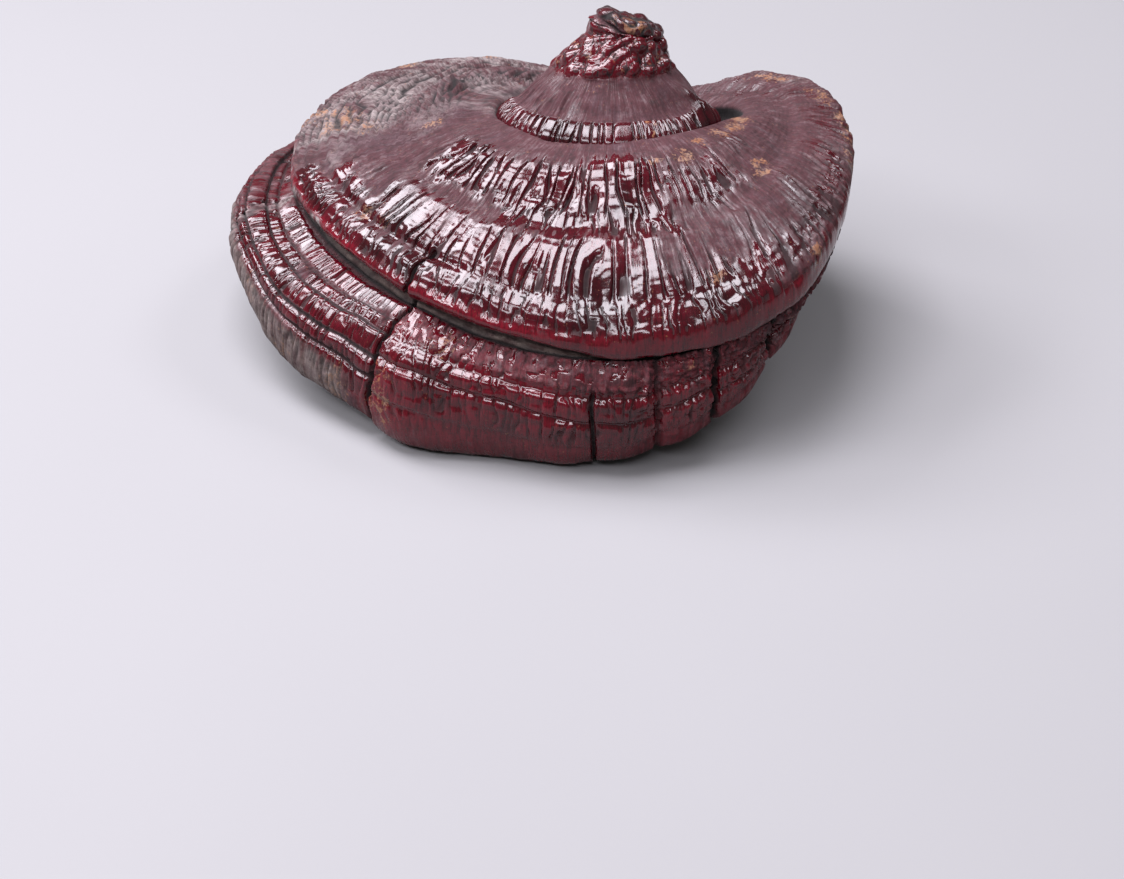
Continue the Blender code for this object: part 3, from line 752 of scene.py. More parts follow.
def fine_relief(rows, places, azimuths, gloss):
    """Wrinkles, fine growth lines and small lumps on the upper tier and its edge, and how deep in a furrow
    each point lies, from 0 to 1."""
    share = share_of(places)
    out = share * FULL_WIDTH
    raised = 0.32 * lumps(rows, 6.5, 2.0) + 0.05 * lumps(rows, 2.6, 3.0)
    on_top = fall(places, RING_BROW + 0.2, RING_BROW + 0.8)
    vigour = 0.2 + 0.8 * smooth(gloss, 0.2, 0.7)
    vigour = vigour * (1 + 0.9 * lumps(rows, 11.0, 4.0)) * on_top
    deep = []
    for number, (start, end, count, length, height, first, last, cut) in enumerate(WRINKLE_BANDS):
        inside = smooth(share, start - WRINKLE_FADE, start + WRINKLE_FADE)
        inside = inside * fall(share, end - WRINKLE_FADE, end + WRINKLE_FADE) * vigour
        openness = first + (last - first) * unit((share - start) / (end - start))
        ridge = combed(azimuths, out, count, length, 31 + 7 * number, openness, cut)
        raised += height * (ridge - 0.7) * inside
        deep.append(smooth(1 - ridge, 0.16, 0.66) * unit(1.4 * inside))
    # the last roll before the brow starts as a low terrace and then falls off steeply
    terrace = 0.36 * unit((share - 0.885) / 0.055) - 0.8 * unit((share - 0.945) / 0.05)
    raised += terrace * sector(azimuths, 190, 262, 12) * fall(places, RING_BROW + 0.2, RING_BROW + 1.4)
    # wide soft folds under the wrinkles
    raised += 0.5 * streaks(azimuths, out, 46, 14.0, 61.0) * smooth(share, 0.1, 0.25) * on_top
    # growth lines too fine for the solid: everywhere a little, at the back and the left much
    drift = 2.2 * lumps(rows, 16.0, 7.0) + 0.7 * lumps(rows, 5.0, 8.0)
    grain = np.sin(2 * math.pi * (out / GRAIN_SPACING + drift))
    grain_height = 0.34 + 0.16 * sector(azimuths, 95, 172, 15)
    grain_zone = 0.22 + 0.78 * sector(azimuths, 60, 176, 24)
    raised += grain_height * grain * grain_zone * smooth(share, 0.1, 0.2) * on_top
    deep.append(0.95 * smooth(-grain, 0.2, 0.9) * sector(azimuths, 60, 170, 24) * on_top)
    # nested ridges inside the furrow
    inner = furrow_middle(azimuths) - share
    near = window(inner, 0.0, 0.03, 0.2, 0.26) * sector(azimuths, 100, 162, 14)
    nested = np.sin(2 * math.pi * (inner / NESTED_SPACING + 0.6 * lumps(rows, 7.0, 14.0)))
    raised += 0.9 * nested * near
    deep.append(smooth(-nested, 0.2, 0.9) * near)
    for where, at, size, depth in HOLLOWS:
        raised -= depth * blot(azimuths, share, radius_of(rows), where, at, size)
    # the fluted right-hand edge
    flutes = combed(azimuths, out, 104, 18.0, 77, 1.0, 0.0)
    fluted = sector(azimuths, 304, 14, 8) * smooth(share, 0.8, 0.86) * on_top
    raised += 0.7 * (flutes - 0.6) * fluted
    deep.append(smooth(1 - flutes, 0.25, 0.7) * fluted)
    # the striped recess under the lip
    under = smooth(places, RING_LIP, RING_LIP + 0.3)
    stripes = np.sin(2 * math.pi * (1.7 * places + 0.7 * lumps(rows, 9.0, 9.0)))
    raised += 0.3 * stripes * under
    deep.append(0.9 * smooth(-stripes, 0.1, 0.9) * under)
    face = smooth(places, RING_BROW + 0.5, RING_BROW + 1.0) * (1 - under)
    raised += 0.16 * streaks(azimuths, places, 150, 1.2, 88.0) * face
    return raised, highest(*deep)


def upper_piece():
    """All fields of the upper tier, closed under the hub and under its edge, out of sight."""
    azimuths = column_azimuths()
    levels = joined([spaced_places(*stretch) for stretch in UPPER_ROWS])
    places, turned = grid(levels, azimuths)
    base = along(cap_rings(azimuths), places)
    rows = raise_by(base, upper_relief(base, places, turned))
    radius = radius_of(rows)
    share = share_of(places)
    face = smooth(places, RING_BROW, RING_BROW + 0.4) * sector(turned, 186, 330, 14)
    gloss = np.maximum(varnish(turned, share, rows, radius), 0.95 * face)
    split = cracks(places, turned)
    fine, deep = fine_relief(rows, places, turned, gloss)
    # the skin right of the main crack stands proud of the left
    proud = 0.5 * right_of(turned, MAIN_CRACK, 3, 9) * smooth(places, 6.6, 7.4)
    rows = raise_by(rows, fine - split + proud)
    # the roll's inner edge comes up to the collar's rim
    brim = fall(places, 0.3, 1.3) * (1 - sector(turned, 5, 60, 30))
    rows[:, :, 2] += (GROOVE_RISE + 1.2 * sector(turned, 170, 215, 25)) * brim
    rows[:, :, :2] *= (1 - (GROOVE_IN + 1.5 * sector(turned, 150, 215, 25)) / 26.0 * brim)[:, :, None]
    # a pale rim along the lip, wide at the left
    lip = window(places, 9.7, 9.9, 10.1, 10.3)
    wide = sector(turned, 150, 196, 8) * smooth(places, 8.2, 8.8) * fall(places, 10.15, 10.4)
    lip = np.maximum(0.8 * lip, wide) * (0.75 + 0.8 * lumps(rows, 2.5, 19.0))
    recess = smooth(places, RING_LIP + 0.1, RING_LIP + 0.4)
    gloss = gloss * (1 - lip) * (1 - recess)
    # painted shade: near-black in the cracks, the furrow, the roll's inner edge, the crevice at the collar's
    # right, the recess and the gaps between the ridges, where shade falls
    painted_shade = highest(
        unit(split / 2.0), 0.85 * smooth(furrow(share, turned), 2.2, 3.8),
        # the roll's inner edge and the crevice at the collar's right
        fall(places, 0.0, 0.25), smooth(swell(turned, 20, 42), 0.1, 0.4) * fall(places, 0.75, 1.0),
        # the recess, just under the lip, at the front and the right, and at its inner end
        0.9 * bell(places, 10.35, 0.16), smooth(places, RING_SHELF - 0.3, RING_SHELF - 0.05),
        smooth(places, RING_LIP, RING_LIP + 0.4) * (1 - sector(turned, 60, 262, 20)),
        # the gaps between the ridges, most of all at the back
        0.6 * deep * deep, 0.95 * deep * sector(turned, 70, 165, 20) * smooth(share, 0.05, 0.15),
    )
    worn = unit(marked(UPPER_SCUFFS, turned, share, radius) * (0.75 + 0.9 * lumps(rows, 2.4, 41.0)))
    ash = sector(turned, 50, 166, 20) * (0.5 + 0.35 * smooth(share, 0.3, 0.6))
    ash = ash + 0.2 * sector(turned, 176, 214, 12)
    ash = highest(ash, 0.75 * sector(turned, 335, 50, 20) * smooth(share, 0.6, 0.85), lip)
    ash = unit(ash + 0.35 * lumps(rows, 7.0, 25.0))
    # the brow's steep face is painted a brighter red, partly the skin's own red and partly painted light for
    # a face the lamps reach less
    ruddy_and_painted_light = 0.75 * smooth(places, 7.7, 8.5)
    polar = 0.8 + places / RING_SHELF * 2.4
    worn = worn * (places < RING_BROW + 1.5)
    table = fields(rows, gloss, painted_shade, worn, recess, 0.0, ash, ruddy_and_painted_light, polar)
    near = int(np.searchsorted(levels, 2.0))
    return stitched([
        *hidden_rows(table[0], 44.0, UPPER_OPENING), *(row[::2] for row in table[:near]), *table[near:],
        *hidden_rows(table[-1], 30.0, UPPER_CLOSING),
    ])


# ---------------------------------------------------------------- the lower tier, the underside and the stem

def lower_skin(azimuths):
    """The lower tier's rows with all their fields, from the recess under the upper tier to the foot."""
    levels = joined([spaced_places(*stretch) for stretch in LOWER_ROWS])
    places, turned = grid(np.concatenate([[RING_SHELF - 0.1], levels]), azimuths)
    base = along(cap_rings(azimuths), places)
    fade = unit(RING_FOOT - places)
    rows = raise_by(base, LUMP_HEIGHT * lumps(base, LUMP_SIZE, 1.0) * fade)
    # ledges wander up and down, slant on the front, and don't line up across the cracks
    circle = ring(azimuths, 1.0, 0.0)
    drift = 0.14 * lumps(2.6 * circle, 1.0, 4.0) + 0.07 * lumps(9.0 * circle, 1.0, 5.0)
    for start, end, shift in LOBE_SHIFTS:
        drift = drift + shift * ((azimuths > start) & (azimuths < end))
    slant = LEDGE_SLANT * unit(angle_from(azimuths, 234) / 31)
    shifted = places + drift[None, :] * between(places, RING_SHELF + 1, RING_SKIRT, 1.0)
    shifted = shifted - slant[None, :] * smooth(places, 12.5, 13.5) * fall(places, 15.0, 16.0)
    shifted = shifted + 0.025 * lumps(rows, 5.0, 6.0)
    is_left = (angle_from(turned, MAIN_CRACK) < 0) & (angle_from(turned, 100) > 0)
    at_left, at_front = (ledge_layers(shifted, ledges) for ledges in (LEFT_LEDGES, FRONT_LEDGES))
    profile, groove, shoulder = (np.where(is_left, *pair) for pair in zip(at_left, at_front))
    on_ledges = between(places, RING_SHELF, LEDGES_END, 0.5)
    raised = profile * between(places, RING_SHELF, RING_FOOT - 0.5)
    # lobes between the cracks swell a little, and the skin right of the main crack and the seam stands proud
    bulge = highest(*(swell(turned, 0.5 * (start + end), 0.62 * (end - start)) for start, end in LOBES))
    raised += 0.9 * bulge * smooth(places, 12.3, 13.2) * fade
    seam_azimuth, seam_start, seam_lean = SEAM
    seam = seam_azimuth + seam_lean * (places - seam_start)
    right_of_seam = right_of(turned, seam, 2, 5)
    raised += (right_of(turned, MAIN_CRACK, 3, 9) + 0.9 * right_of_seam) * fade
    rows = raise_by(rows, raised)
    # short wrinkles across every ledge
    reach = LOWER_PLACE * places
    open_gaps = 0.8 + 0.4 * lumps(rows, 8.0, 68.0)
    bars = combed(turned, reach, 250, 6.0, 51, open_gaps + 0.15, 0.0)
    studs = combed(turned, reach, 200, 3.2, 52, open_gaps, 0.4)
    ridge = np.where(is_left, bars, studs)
    strength = np.where(is_left, 0.35 + 0.65 * shoulder, 0.15 + 0.85 * shoulder) * on_ledges
    strength = strength * (1 + 0.8 * lumps(rows, 9.0, 16.0))
    fine = 0.62 * (ridge - 0.7) * strength
    fine += 0.3 * lumps(rows, 7.0, 12.0) + 0.06 * lumps(rows, 2.4, 13.0)
    # small blocks on the lobes at the right
    blocks = pebbles(turned, reach, 190, 2.4, 59) - 0.5
    fine += 0.45 * blocks * sector(turned, 275, 312, 3) * between(places, 12.3, 15.4, 0.4)
    # ribs along the lower left margin
    margin = sector(turned, 176, 219, 5) * smooth(places, 14.55, LEDGES_END)
    ribs = combed(turned, reach, 250, 9.0, 61, 0.8, 0.1)
    fine += 0.5 * (ribs - 0.5) * margin
    fine += 0.16 * streaks(turned, reach, 110, 6.0, 63.0) * (1 - on_ledges)
    split = cracks(places, turned)
    rows = raise_by(rows, fine * unit(2 * (RING_FOOT - places)) - split * fade**0.3)
    rows[:, :, 2] = np.maximum(rows[:, :, 2], 0.0)
    # the hidden first row lies inside the upper piece
    rows[0, :, :2] *= 1 - 0.6 / radius_of(rows[0])[:, None]
    patch = lumps(rows, 9.0, 23.0) + 0.5 * lumps(rows, 3.4, 24.0)
    zone = highest(
        0.95 * sector(turned, 226, 316, 4) + 0.5 * sector(turned, 150, 188, 4),
        (0.3 + 0.65 * shoulder * smooth(patch, -0.9, -0.3)) * sector(turned, 188, 227, 10),
    )
    gloss = np.clip(zone + 0.25 * patch, 0.1, 1) * (1 - 0.95 * margin)
    gloss = gloss * (1 - 0.36 * smooth(places, LEDGES_END, 15.5)) * (1 - 0.3 * sector(turned, 276, 330, 6))
    # the topmost ledge is dusty at the front, with small varnished spots, fewer of them to the right
    spotted = smooth(lumps(rows, 1.7, 31.0) - 0.3 * smooth(turned, 238, 252), -0.06, 0.06)
    first_ledge = fall(shifted, 13.1, 13.3) * sector(turned, MAIN_CRACK, 330, 3)
    seam_edge = 0.8 * right_of_seam * (angle_from(turned, seam) < 3)
    gloss = gloss * (1 - 0.7 * first_ledge * (1 - spotted)) * (1 - seam_edge)
    # painted shade: near-black in the cracks, at the recess's inner end, in the ledges' grooves and in the
    # gaps between the ridges and the ribs; the next line sets how strong it is in the gaps
    gap_painted_shade = np.where(is_left, 0.4, 0.25) + 0.6 * shoulder
    painted_shade = highest(
        unit(split / 1.6), 0.9 * fall(places, RING_SHELF + 0.05, RING_SHELF + 0.2),
        np.where(is_left, 0.85, 0.4) * groove * on_ledges,
        0.64 * smooth(1 - ridge, 0.2, 0.8) * on_ledges * gap_painted_shade, 0.7 * (1 - ribs) * margin,
    )
    worn = marked(LOWER_SCUFFS, turned, places, radius_of(rows), scale=LOWER_PLACE, core=0.3)
    worn = unit(worn * (0.55 + 1.0 * lumps(rows, 2.0, 43.0) + 0.6 * lumps(rows, 0.9, 44.0)))
    ash = unit(0.7 * sector(turned, 60, 190, 15) + 0.75 * margin + seam_edge + 0.3 * patch)
    # a brighter red, more at the front, lower down and on the lobes at the right: partly the skin's own red
    # and partly painted light for faces the lamps reach less
    ruddy_and_painted_light = 0.25 + 0.3 * sector(turned, MAIN_CRACK, 330, 4) + 0.25 * smooth(places, 14.6, 15.4)
    ruddy_and_painted_light = ruddy_and_painted_light + 0.3 * sector(turned, 277, 330, 4)
    polar = 3.0 - (places - RING_SHELF) / (RING_FOOT - RING_SHELF) * 0.9
    return fields(rows, gloss, painted_shade, worn, 0.55 * margin, 0.0, ash, ruddy_and_painted_light, polar)


def under_skin(azimuths):
    """The rows of the hollow, pored underside and the stem, with all their fields."""
    levels = joined([spaced_places(*stretch) for stretch in UNDER_ROWS])[1:]
    places, turned = grid(levels, azimuths)
    rows = along(cap_rings(azimuths), places)
    hollow = window(places, RING_FOOT + 0.3, RING_PORES, STEM_START, RING_STEM)
    steps = np.abs(np.sin(math.pi * (radius_of(rows) / STEP_SPACING + 0.5 * lumps(rows, 22.0, 71.0))))
    raised = (0.7 * lumps(rows, 13.0, 72.0) + 0.3 * lumps(rows, 4.0, 73.0) + 0.45 * steps) * hollow
    bark = window(places, STEM_START + 0.2, RING_STEM, RING_CUT - 0.5, RING_CUT - 0.05)
    furrows = pebbles(turned, 2.5 * places, 24, 6.0, 74)
    raised += (0.8 * (furrows - 0.5) + 0.6 * lumps(rows, 5.0, 75.0)) * bark
    rows = raise_by(rows, raised)
    rows[:, :, 2] = np.maximum(rows[:, :, 2], 0.0)
    pores = window(places, RING_FOOT + 0.25, RING_FOOT + 0.75, STEM_START + 0.3, RING_STEM)
    cork = smooth(places, RING_CUT - 0.6, RING_CUT - 0.3)
    # painted shade: a share of near-black in the furrows of the stem's bark
    painted_shade = 0.35 * bark * (1 - furrows)
    polar = 2.1 - (places - RING_FOOT) / (RING_CUT - RING_FOOT) * 2.0
    table = fields(rows, 0.1, painted_shade, 0.0, 2.0 * pores + 0.6 * bark, cork, 0.5, 0.0, polar)
    stem = int(np.searchsorted(levels, STEM_START))
    return [*table[:stem], *(row[::3] for row in table[stem:])]


def lower_piece():
    """All fields of the lower tier, the hollow underside and the stem, closed at the top, out of sight."""
    azimuths = column_azimuths()
    lower = lower_skin(azimuths)
    return stitched([*hidden_rows(lower[0], 34.0, LOWER_OPENING), *lower, *under_skin(azimuths[::2])])


# ---------------------------------------------------------------- meshes

def strip(top, above, bottom, below):
    """The faces between two rings, given where each starts in the list of points and how many it has."""
    if above == below:
        return [
            (top + j, bottom + j, bottom + (j + 1) % below, top + (j + 1) % above) for j in range(above)
        ]
    opens = above < below
    coarse, dense = (top, bottom) if opens else (bottom, top)
    fewer, more = sorted((above, below))
    ratio = more // fewer
    half = (ratio + 1) // 2
    faces = []
    for j in range(fewer):
        a, b = coarse + j, coarse + (j + 1) % fewer
        fine = [dense + (ratio * j + k) % more for k in range(ratio + 1)]
        fan = [(a, fine[k], fine[k + 1]) for k in range(half)]
        fan.append((a, fine[half], b))
        fan += [(b, fine[k], fine[k + 1]) for k in range(half, ratio)]
        faces += fan if opens else [(q, p, r) for p, q, r in fan]
    return faces


def stitched(rings):
    """Points and faces of the closed skin over rings listed from the top to the bottom. Neighbouring rings
    may differ in their number of points by a whole factor."""
    points = [rings[0].mean(axis=0)[None], *rings, rings[-1].mean(axis=0)[None]]
    starts = np.cumsum([0] + [len(p) for p in points]).tolist()
    count = len(rings[0])
    faces = [(0, 1 + j, 1 + (j + 1) % count) for j in range(count)]
    for number in range(1, len(points) - 2):
        above, below = points[number:number + 2]
        faces += strip(starts[number], len(above), starts[number + 1], len(below))
    last, end = starts[-3:-1]
    count = len(rings[-1])
    faces += [(last + (j + 1) % count, last + j, end) for j in range(count)]
    return np.concatenate(points), faces


def add_object(name, data):
    """A new object in the scene."""
    made = bpy.data.objects.new(name, data)
    bpy.context.scene.collection.objects.link(made)
    return made


def make_piece(name, points, faces, material):
    """A mesh object from a table of points: x, y, z, the fields that the material reads, and the distance
    from the UV map's middle."""
    mesh = bpy.data.meshes.new(name)
    mesh.from_pydata((points[:, :3] * MM).tolist(), [], faces)
    for column, field in enumerate(FIELDS, 3):
        layer = mesh.attributes.new(field, "FLOAT", "POINT")
        layer.data.foreach_set("value", points[:, column].astype(np.float32))
    turn = np.arctan2(points[:, 1], points[:, 0])
    polar = points[:, -1] / (2 * points[:, -1].max())
    flat = np.stack([0.5 + polar * np.cos(turn), 0.5 + polar * np.sin(turn)], axis=1)
    corners = np.empty(len(mesh.loops), np.int32)
    mesh.loops.foreach_get("vertex_index", corners)
    uv_map = mesh.uv_layers.new(name="OFBake", do_init=False)
    uv_map.uv.foreach_set("vector", flat[corners].astype(np.float32).ravel())
    mesh.shade_smooth()
    mesh.materials.append(material)
    return add_object(name, mesh)


# ---------------------------------------------------------------- materials

class Nodes:
    """Makes a material's nodes in short calls."""

    def __init__(self, name):
        self.material = bpy.data.materials.new(name)
        self.material.use_nodes = True
        self.tree = self.material.node_tree
        self.shader = self.tree.nodes["Principled BSDF"]
        self.place = self.tree.nodes.new("ShaderNodeTexCoord").outputs["Object"]

    def put(self, socket, value):
        """Links an output to the socket, or sets the socket's own value."""
        if isinstance(value, bpy.types.NodeSocket):
            self.tree.links.new(value, socket)
        else:
            socket.default_value = value

    def make(self, kind, output, inputs, **settings):
        """The output of a new node, with its settings made and its inputs filled in."""
        node = self.tree.nodes.new("ShaderNode" + kind)
        for name, value in settings.items():
            setattr(node, name, value)
        for key, value in inputs.items():
            self.put(node.inputs[key], value)
        return node.outputs[output]

    def field(self, name):
        return self.make("Attribute", "Fac", {}, attribute_name=name)

    def maths(self, operation, *values):
        return self.make("Math", 0, dict(enumerate(values)), operation=operation)

    def times(self, first, second):
        return self.maths("MULTIPLY", first, second)

    def plus(self, first, second):
        return self.maths("ADD", first, second)

    def span(self, value, low, high, new_low=0.0, new_high=1.0):
        """The value carried from one span to another, and kept inside it."""
        names = ("Value", "From Min", "From Max", "To Min", "To Max")
        return self.make("MapRange", 0, dict(zip(names, (value, low, high, new_low, new_high))))

    def swing(self, value, reach):
        """A noise, spread from minus the reach to the reach."""
        return self.span(value, 0.3, 0.7, -reach, reach)

    def noise(self, scale, detail=3.0, roughness=0.55, place=None):
        place = self.place if place is None else place
        inputs = {"Scale": scale, "Detail": detail, "Roughness": roughness, "Vector": place}
        return self.make("TexNoise", 0, inputs)

    def go_round(self):
        """Works out each point's distance from the axis, and for rays its direction and its way out."""
        parts = self.tree.nodes.new("ShaderNodeSeparateXYZ")
        self.put(parts.inputs[0], self.place)
        x, y, z = parts.outputs
        squares = self.plus(self.times(x, x), self.times(y, y))
        self.radius = self.maths("MAXIMUM", self.maths("SQRT", squares), MM)
        self.way = (
            self.maths("DIVIDE", x, self.radius), self.maths("DIVIDE", y, self.radius),
            self.maths("SUBTRACT", self.radius, z),
        )

    def rays(self, count, length, detail=3.0):
        """Noise drawn out along the radius: about count swells round the axis, each about length long."""
        size = count / math.pi
        scaled = (self.times(part, factor) for part, factor in zip(self.way, (size, size, 1 / length)))
        return self.noise(1.0, detail, 0.6, self.make("CombineXYZ", 0, dict(enumerate(scaled))))

    def cells(self, scale):
        return self.make("TexVoronoi", "Distance", {"Scale": scale, "Vector": self.place})

    def blend(self, share, first, second):
        """The share of the second colour over the first."""
        return self.make("Mix", 2, {0: share, 6: first, 7: second}, data_type="RGBA")

    def mixed(self, share, first, second):
        """The share of the second number over the first."""
        return self.make("Mix", 0, {0: share, 2: first, 3: second})

    def finished(self, looks):
        """The material, with the shader's inputs filled in."""
        for name, value in looks.items():
            self.put(self.shader.inputs[name], value)
        return self.material

    def bump(self, height, distance, normal):
        inputs = {"Height": height, "Distance": distance, "Strength": 1.0}
        if normal is not None:
            inputs["Normal"] = normal
        return self.make("Bump", 0, inputs)


MAHOGANY = (0.018, 0.0010, 0.0024, 1)
BLOOD_RED = (0.046, 0.0014, 0.0048, 1)
# a brighter red for steep faces, partly the skin's own red and partly painted light
RUDDY_AND_PAINTED_LIGHT = (0.112, 0.0030, 0.0090, 1)
NEAR_BLACK = (0.0025, 0.0008, 0.0008, 1)
WINE = (0.033, 0.0032, 0.0060, 1)
MAUVE_DUST = (0.036, 0.0125, 0.0165, 1)
GREY_DUST = (0.165, 0.138, 0.132, 1)
PALE_DUST = (0.088, 0.056, 0.060, 1)
TAN = (0.17, 0.098, 0.060, 1)
ORANGE = (0.18, 0.070, 0.024, 1)
RECESS_BROWN = (0.032, 0.014, 0.012, 1)
RECESS_GREY = (0.085, 0.062, 0.052, 1)
PORE_TAN = (0.20, 0.125, 0.07, 1)
PORE_BROWN = (0.10, 0.055, 0.03, 1)
CORK_BROWN = (0.15, 0.055, 0.018, 1)
FLOOR_GREY = (0.180, 0.180, 0.182, 1)
FLOOR_PALE_GREY = (0.192, 0.192, 0.194, 1)
VARNISH_IOR = 1.46
# The fine radial lines come in between these distances from the axis.
LINES_START = 26 * MM
LINES_FULL = 36 * MM


def skin_material():
    """Varnished skin that is dusty, scuffed, pored or corky where the fields say so, with painted shade in
    its hollows, cracks and gaps, and a brighter red on steep faces that is partly painted light.
    """
    n = Nodes("reishi_skin")
    n.go_round()
    gloss, painted_shade, worn, flesh, cork, ash, ruddy_and_painted_light = (n.field(name) for name in FIELDS)
    broad = n.noise(70.0, 4.0)
    fine = n.noise(420.0, 4.0, 0.65)
    grit = n.noise(1600.0, 2.0)
    mottle = n.noise(900.0, 5.0, 0.75)
    lines = n.rays(330.0, 0.005)
    hairs = n.rays(760.0, 0.004, 2.0)
    broad_lines = n.rays(120.0, 0.014, 4.0)
    # how varnished each point is: above about a half it is red and shines, below it is dusty
    ragged = n.plus(n.plus(n.swing(fine, 0.08), n.swing(lines, 0.10)), n.swing(broad_lines, 0.16))
    sheen = n.plus(gloss, ragged)
    red = n.blend(n.span(broad, 0.38, 0.64), MAHOGANY, BLOOD_RED)
    # the brighter red on steep faces is partly the skin's own red and partly painted light
    red = n.blend(n.times(ruddy_and_painted_light, n.span(broad, 0.3, 0.65, 0.5, 1.0)), red, RUDDY_AND_PAINTED_LIGHT)
    red = n.blend(n.span(lines, 0.5, 0.35, 0.0, 0.4), red, NEAR_BLACK)
    dust = n.blend(n.span(n.plus(ash, n.swing(fine, 0.25)), 0.2, 0.9), MAUVE_DUST, GREY_DUST)
    wine = n.blend(n.times(ruddy_and_painted_light, 0.75), WINE, RUDDY_AND_PAINTED_LIGHT)
    blotches = n.plus(n.noise(300.0, 5.0, 0.75), n.swing(n.rays(210.0, 0.008), 0.12))
    hairy = n.span(n.radius, LINES_START, LINES_FULL, 0.1, 0.4)
    flecks = n.plus(n.swing(grit, 0.5), n.swing(fine, 0.25))
    scuffed = n.span(n.plus(worn, flecks), 0.45, 0.95, 0.0, 0.75)
    scuff = n.blend(n.span(fine, 0.42, 0.62), TAN, ORANGE)
    recess = n.blend(n.span(fine, 0.4, 0.6), RECESS_BROWN, RECESS_GREY)
    pored = n.span(flesh, 1.1, 1.8)
    pore_cells = n.cells(2600.0)
    pore = n.blend(n.span(broad, 0.4, 0.65), PORE_TAN, PORE_BROWN)
    pore = n.blend(n.span(pore_cells, 0.25, 0.05), pore, PORE_BROWN)
    corky = n.blend(n.span(fine, 0.4, 0.6), CORK_BROWN, NEAR_BLACK)
    # each layer lies over those before it
    colour = n.blend(n.span(sheen, 0.0, 0.3), dust, wine)
    for share, layer in (
        (n.span(blotches, 0.54, 0.7, 0.0, 0.6), PALE_DUST),
        (n.span(blotches, 0.5, 0.36, 0.0, 0.8), MAHOGANY),
        (n.span(sheen, 0.36, 0.66), red),
        (n.times(n.span(hairs, 0.5, 0.36), hairy), NEAR_BLACK),
        (n.span(mottle, 0.48, 0.34, 0.0, 0.5), NEAR_BLACK),
        (n.times(n.span(mottle, 0.56, 0.7, 0.0, 0.3), n.span(sheen, 0.7, 0.3)), MAUVE_DUST),
        (scuffed, scuff),
        (n.span(n.maths("MINIMUM", flesh, 1.0), 0.1, 0.9, 0.0, 0.92), recess),
        (pored, pore),
        (n.span(cork, 0.3, 0.8, 0.0, 0.85), corky),
        # painted shade: near-black where the points' shade field says so, in hollows, cracks and gaps
        (n.span(painted_shade, 0.1, 0.9, 0.0, 0.97), NEAR_BLACK),
    ):
        colour = n.blend(share, colour, layer)
    rough = n.span(sheen, 0.28, 0.66, 0.92, 0.15)
    for share, value in (
        (n.span(painted_shade, 0.42, 0.58), 0.92), (scuffed, 0.6), (n.span(flesh, 0.3, 0.9), 0.8),
        (n.span(cork, 0.3, 0.8), 0.75),
    ):
        rough = n.mixed(share, rough, value)
    lined = n.times(n.span(gloss, 0.3, 0.7, 1.0, 0.12), n.span(n.radius, LINES_START, LINES_FULL, 0.3, 1.0))
    normal = None
    for height, share, depth in (
        (lines, lined, 0.12), (hairs, n.span(gloss, 0.3, 0.7, 1.0, 0.2), 0.04),
        (fine, n.span(gloss, 0.2, 0.8, 1.0, 0.2), 0.2), (grit, n.span(gloss, 0.2, 0.8, 1.0, 0.1), 0.08),
        (n.span(pore_cells, 0.0, 0.35), pored, 0.18),
    ):
        normal = n.bump(n.times(height, share), depth * MM, normal)
    return n.finished({"Base Color": colour, "Roughness": rough, "IOR": VARNISH_IOR, "Normal": normal})


def floor_material():
    """Plain pale floor."""
    n = Nodes("pale_floor")
    colour = n.blend(n.noise(6.0, 2.0), FLOOR_GREY, FLOOR_PALE_GREY)
    return n.finished({"Base Color": colour, "Roughness": 0.7, "Specular IOR Level": 0.2})


# ---------------------------------------------------------------- floor, light and camera

FLOOR_REACH = 6.0
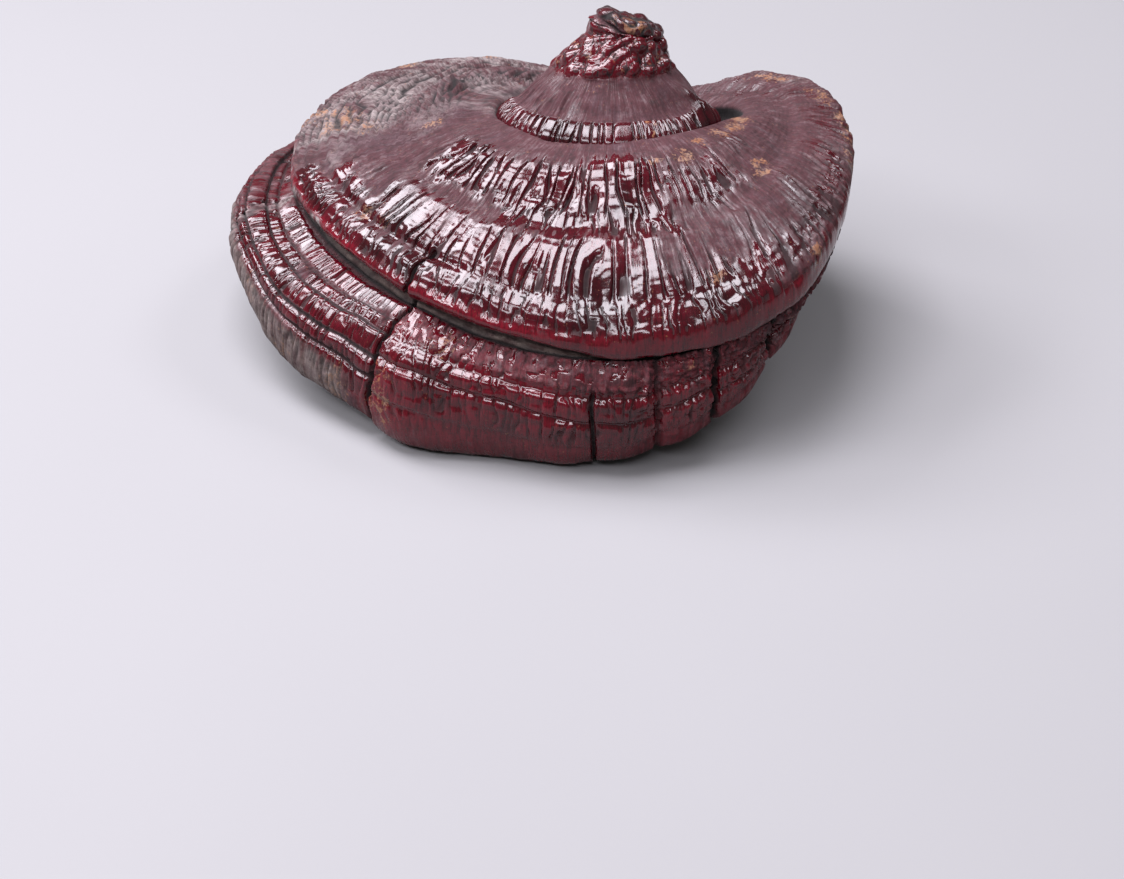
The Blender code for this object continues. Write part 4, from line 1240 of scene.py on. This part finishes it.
# The soft panels all face the mushroom's middle: place, width, height and power.
PANELS = {
    "overhead": ((-0.18, -0.01, 0.92), 0.56, 0.50, 18.0),
    "left": ((-0.68, 0.43, 0.85), 0.48, 0.54, 17.0),
    "low left": ((-0.86, -0.22, 0.74), 0.34, 0.34, 7.5),
    "right": ((0.55, 0.32, 0.85), 0.38, 0.34, 5.5),
    "front": ((-0.32, -0.80, 0.92), 1.1, 0.20, 11.5),
}
PANEL_AIM = (-0.01, -0.01, 0.03)
PANEL_COLOUR = (0.95, 0.92, 1.0)
SURROUND_COLOUR = (1.0, 0.99, 0.99, 1)
SURROUND_STRENGTH = 0.2
CAMERA_PLACE = (-0.012011, -0.668456, 0.410190)
CAMERA_AIM = (-0.012011, -0.046678, -0.009203)
CAMERA_LENS = 100.0
CAMERA_SENSOR = 36.0


def make_floor():
    """A square floor at the height of the stem's cut."""
    mesh = bpy.data.meshes.new("floor")
    corners = [(FLOOR_REACH * x, FLOOR_REACH * y, 0) for x, y in ((-1, -1), (1, -1), (1, 1), (-1, 1))]
    mesh.from_pydata(corners, [], [(0, 1, 2, 3)])
    mesh.materials.append(floor_material())
    floor = add_object("floor", mesh)


def aim(item, place, target):
    """Puts a lamp or a camera at a place and points it at a target."""
    item.location = place
    item.rotation_euler = (Vector(target) - Vector(place)).to_track_quat("-Z", "Y").to_euler()


def make_studio():
    """Soft panels overhead, at the left, lower at the left, at the right and in front, and a dim surround."""
    for name, (place, width, height, power) in PANELS.items():
        light = bpy.data.lights.new(name, "AREA")
        light.shape = "RECTANGLE"
        light.size = width
        light.size_y = height
        light.energy = power
        light.color = PANEL_COLOUR
        aim(add_object(name, light), place, PANEL_AIM)
    world = bpy.data.worlds.new("surround")
    world.use_nodes = True
    background = world.node_tree.nodes["Background"]
    background.inputs["Color"].default_value = SURROUND_COLOUR
    background.inputs["Strength"].default_value = SURROUND_STRENGTH
    bpy.context.scene.world = world
    bpy.context.scene.view_settings.view_transform = "Standard"


def make_camera():
    """The photograph's viewing angle and framing."""
    camera = bpy.data.cameras.new("camera")
    camera.lens = CAMERA_LENS
    camera.sensor_width = CAMERA_SENSOR
    camera.sensor_fit = "HORIZONTAL"
    camera.clip_start = 0.01
    holder = add_object("camera", camera)
    aim(holder, CAMERA_PLACE, CAMERA_AIM)
    bpy.context.scene.camera = holder


skin = skin_material()
for piece_name, maker in (("cap_hub", hub_piece), ("cap_upper", upper_piece), ("cap_lower", lower_piece)):
    piece = make_piece(piece_name, *maker(), skin)
    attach(piece, "root")
    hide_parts("cap")
make_floor()
make_studio()
make_camera()
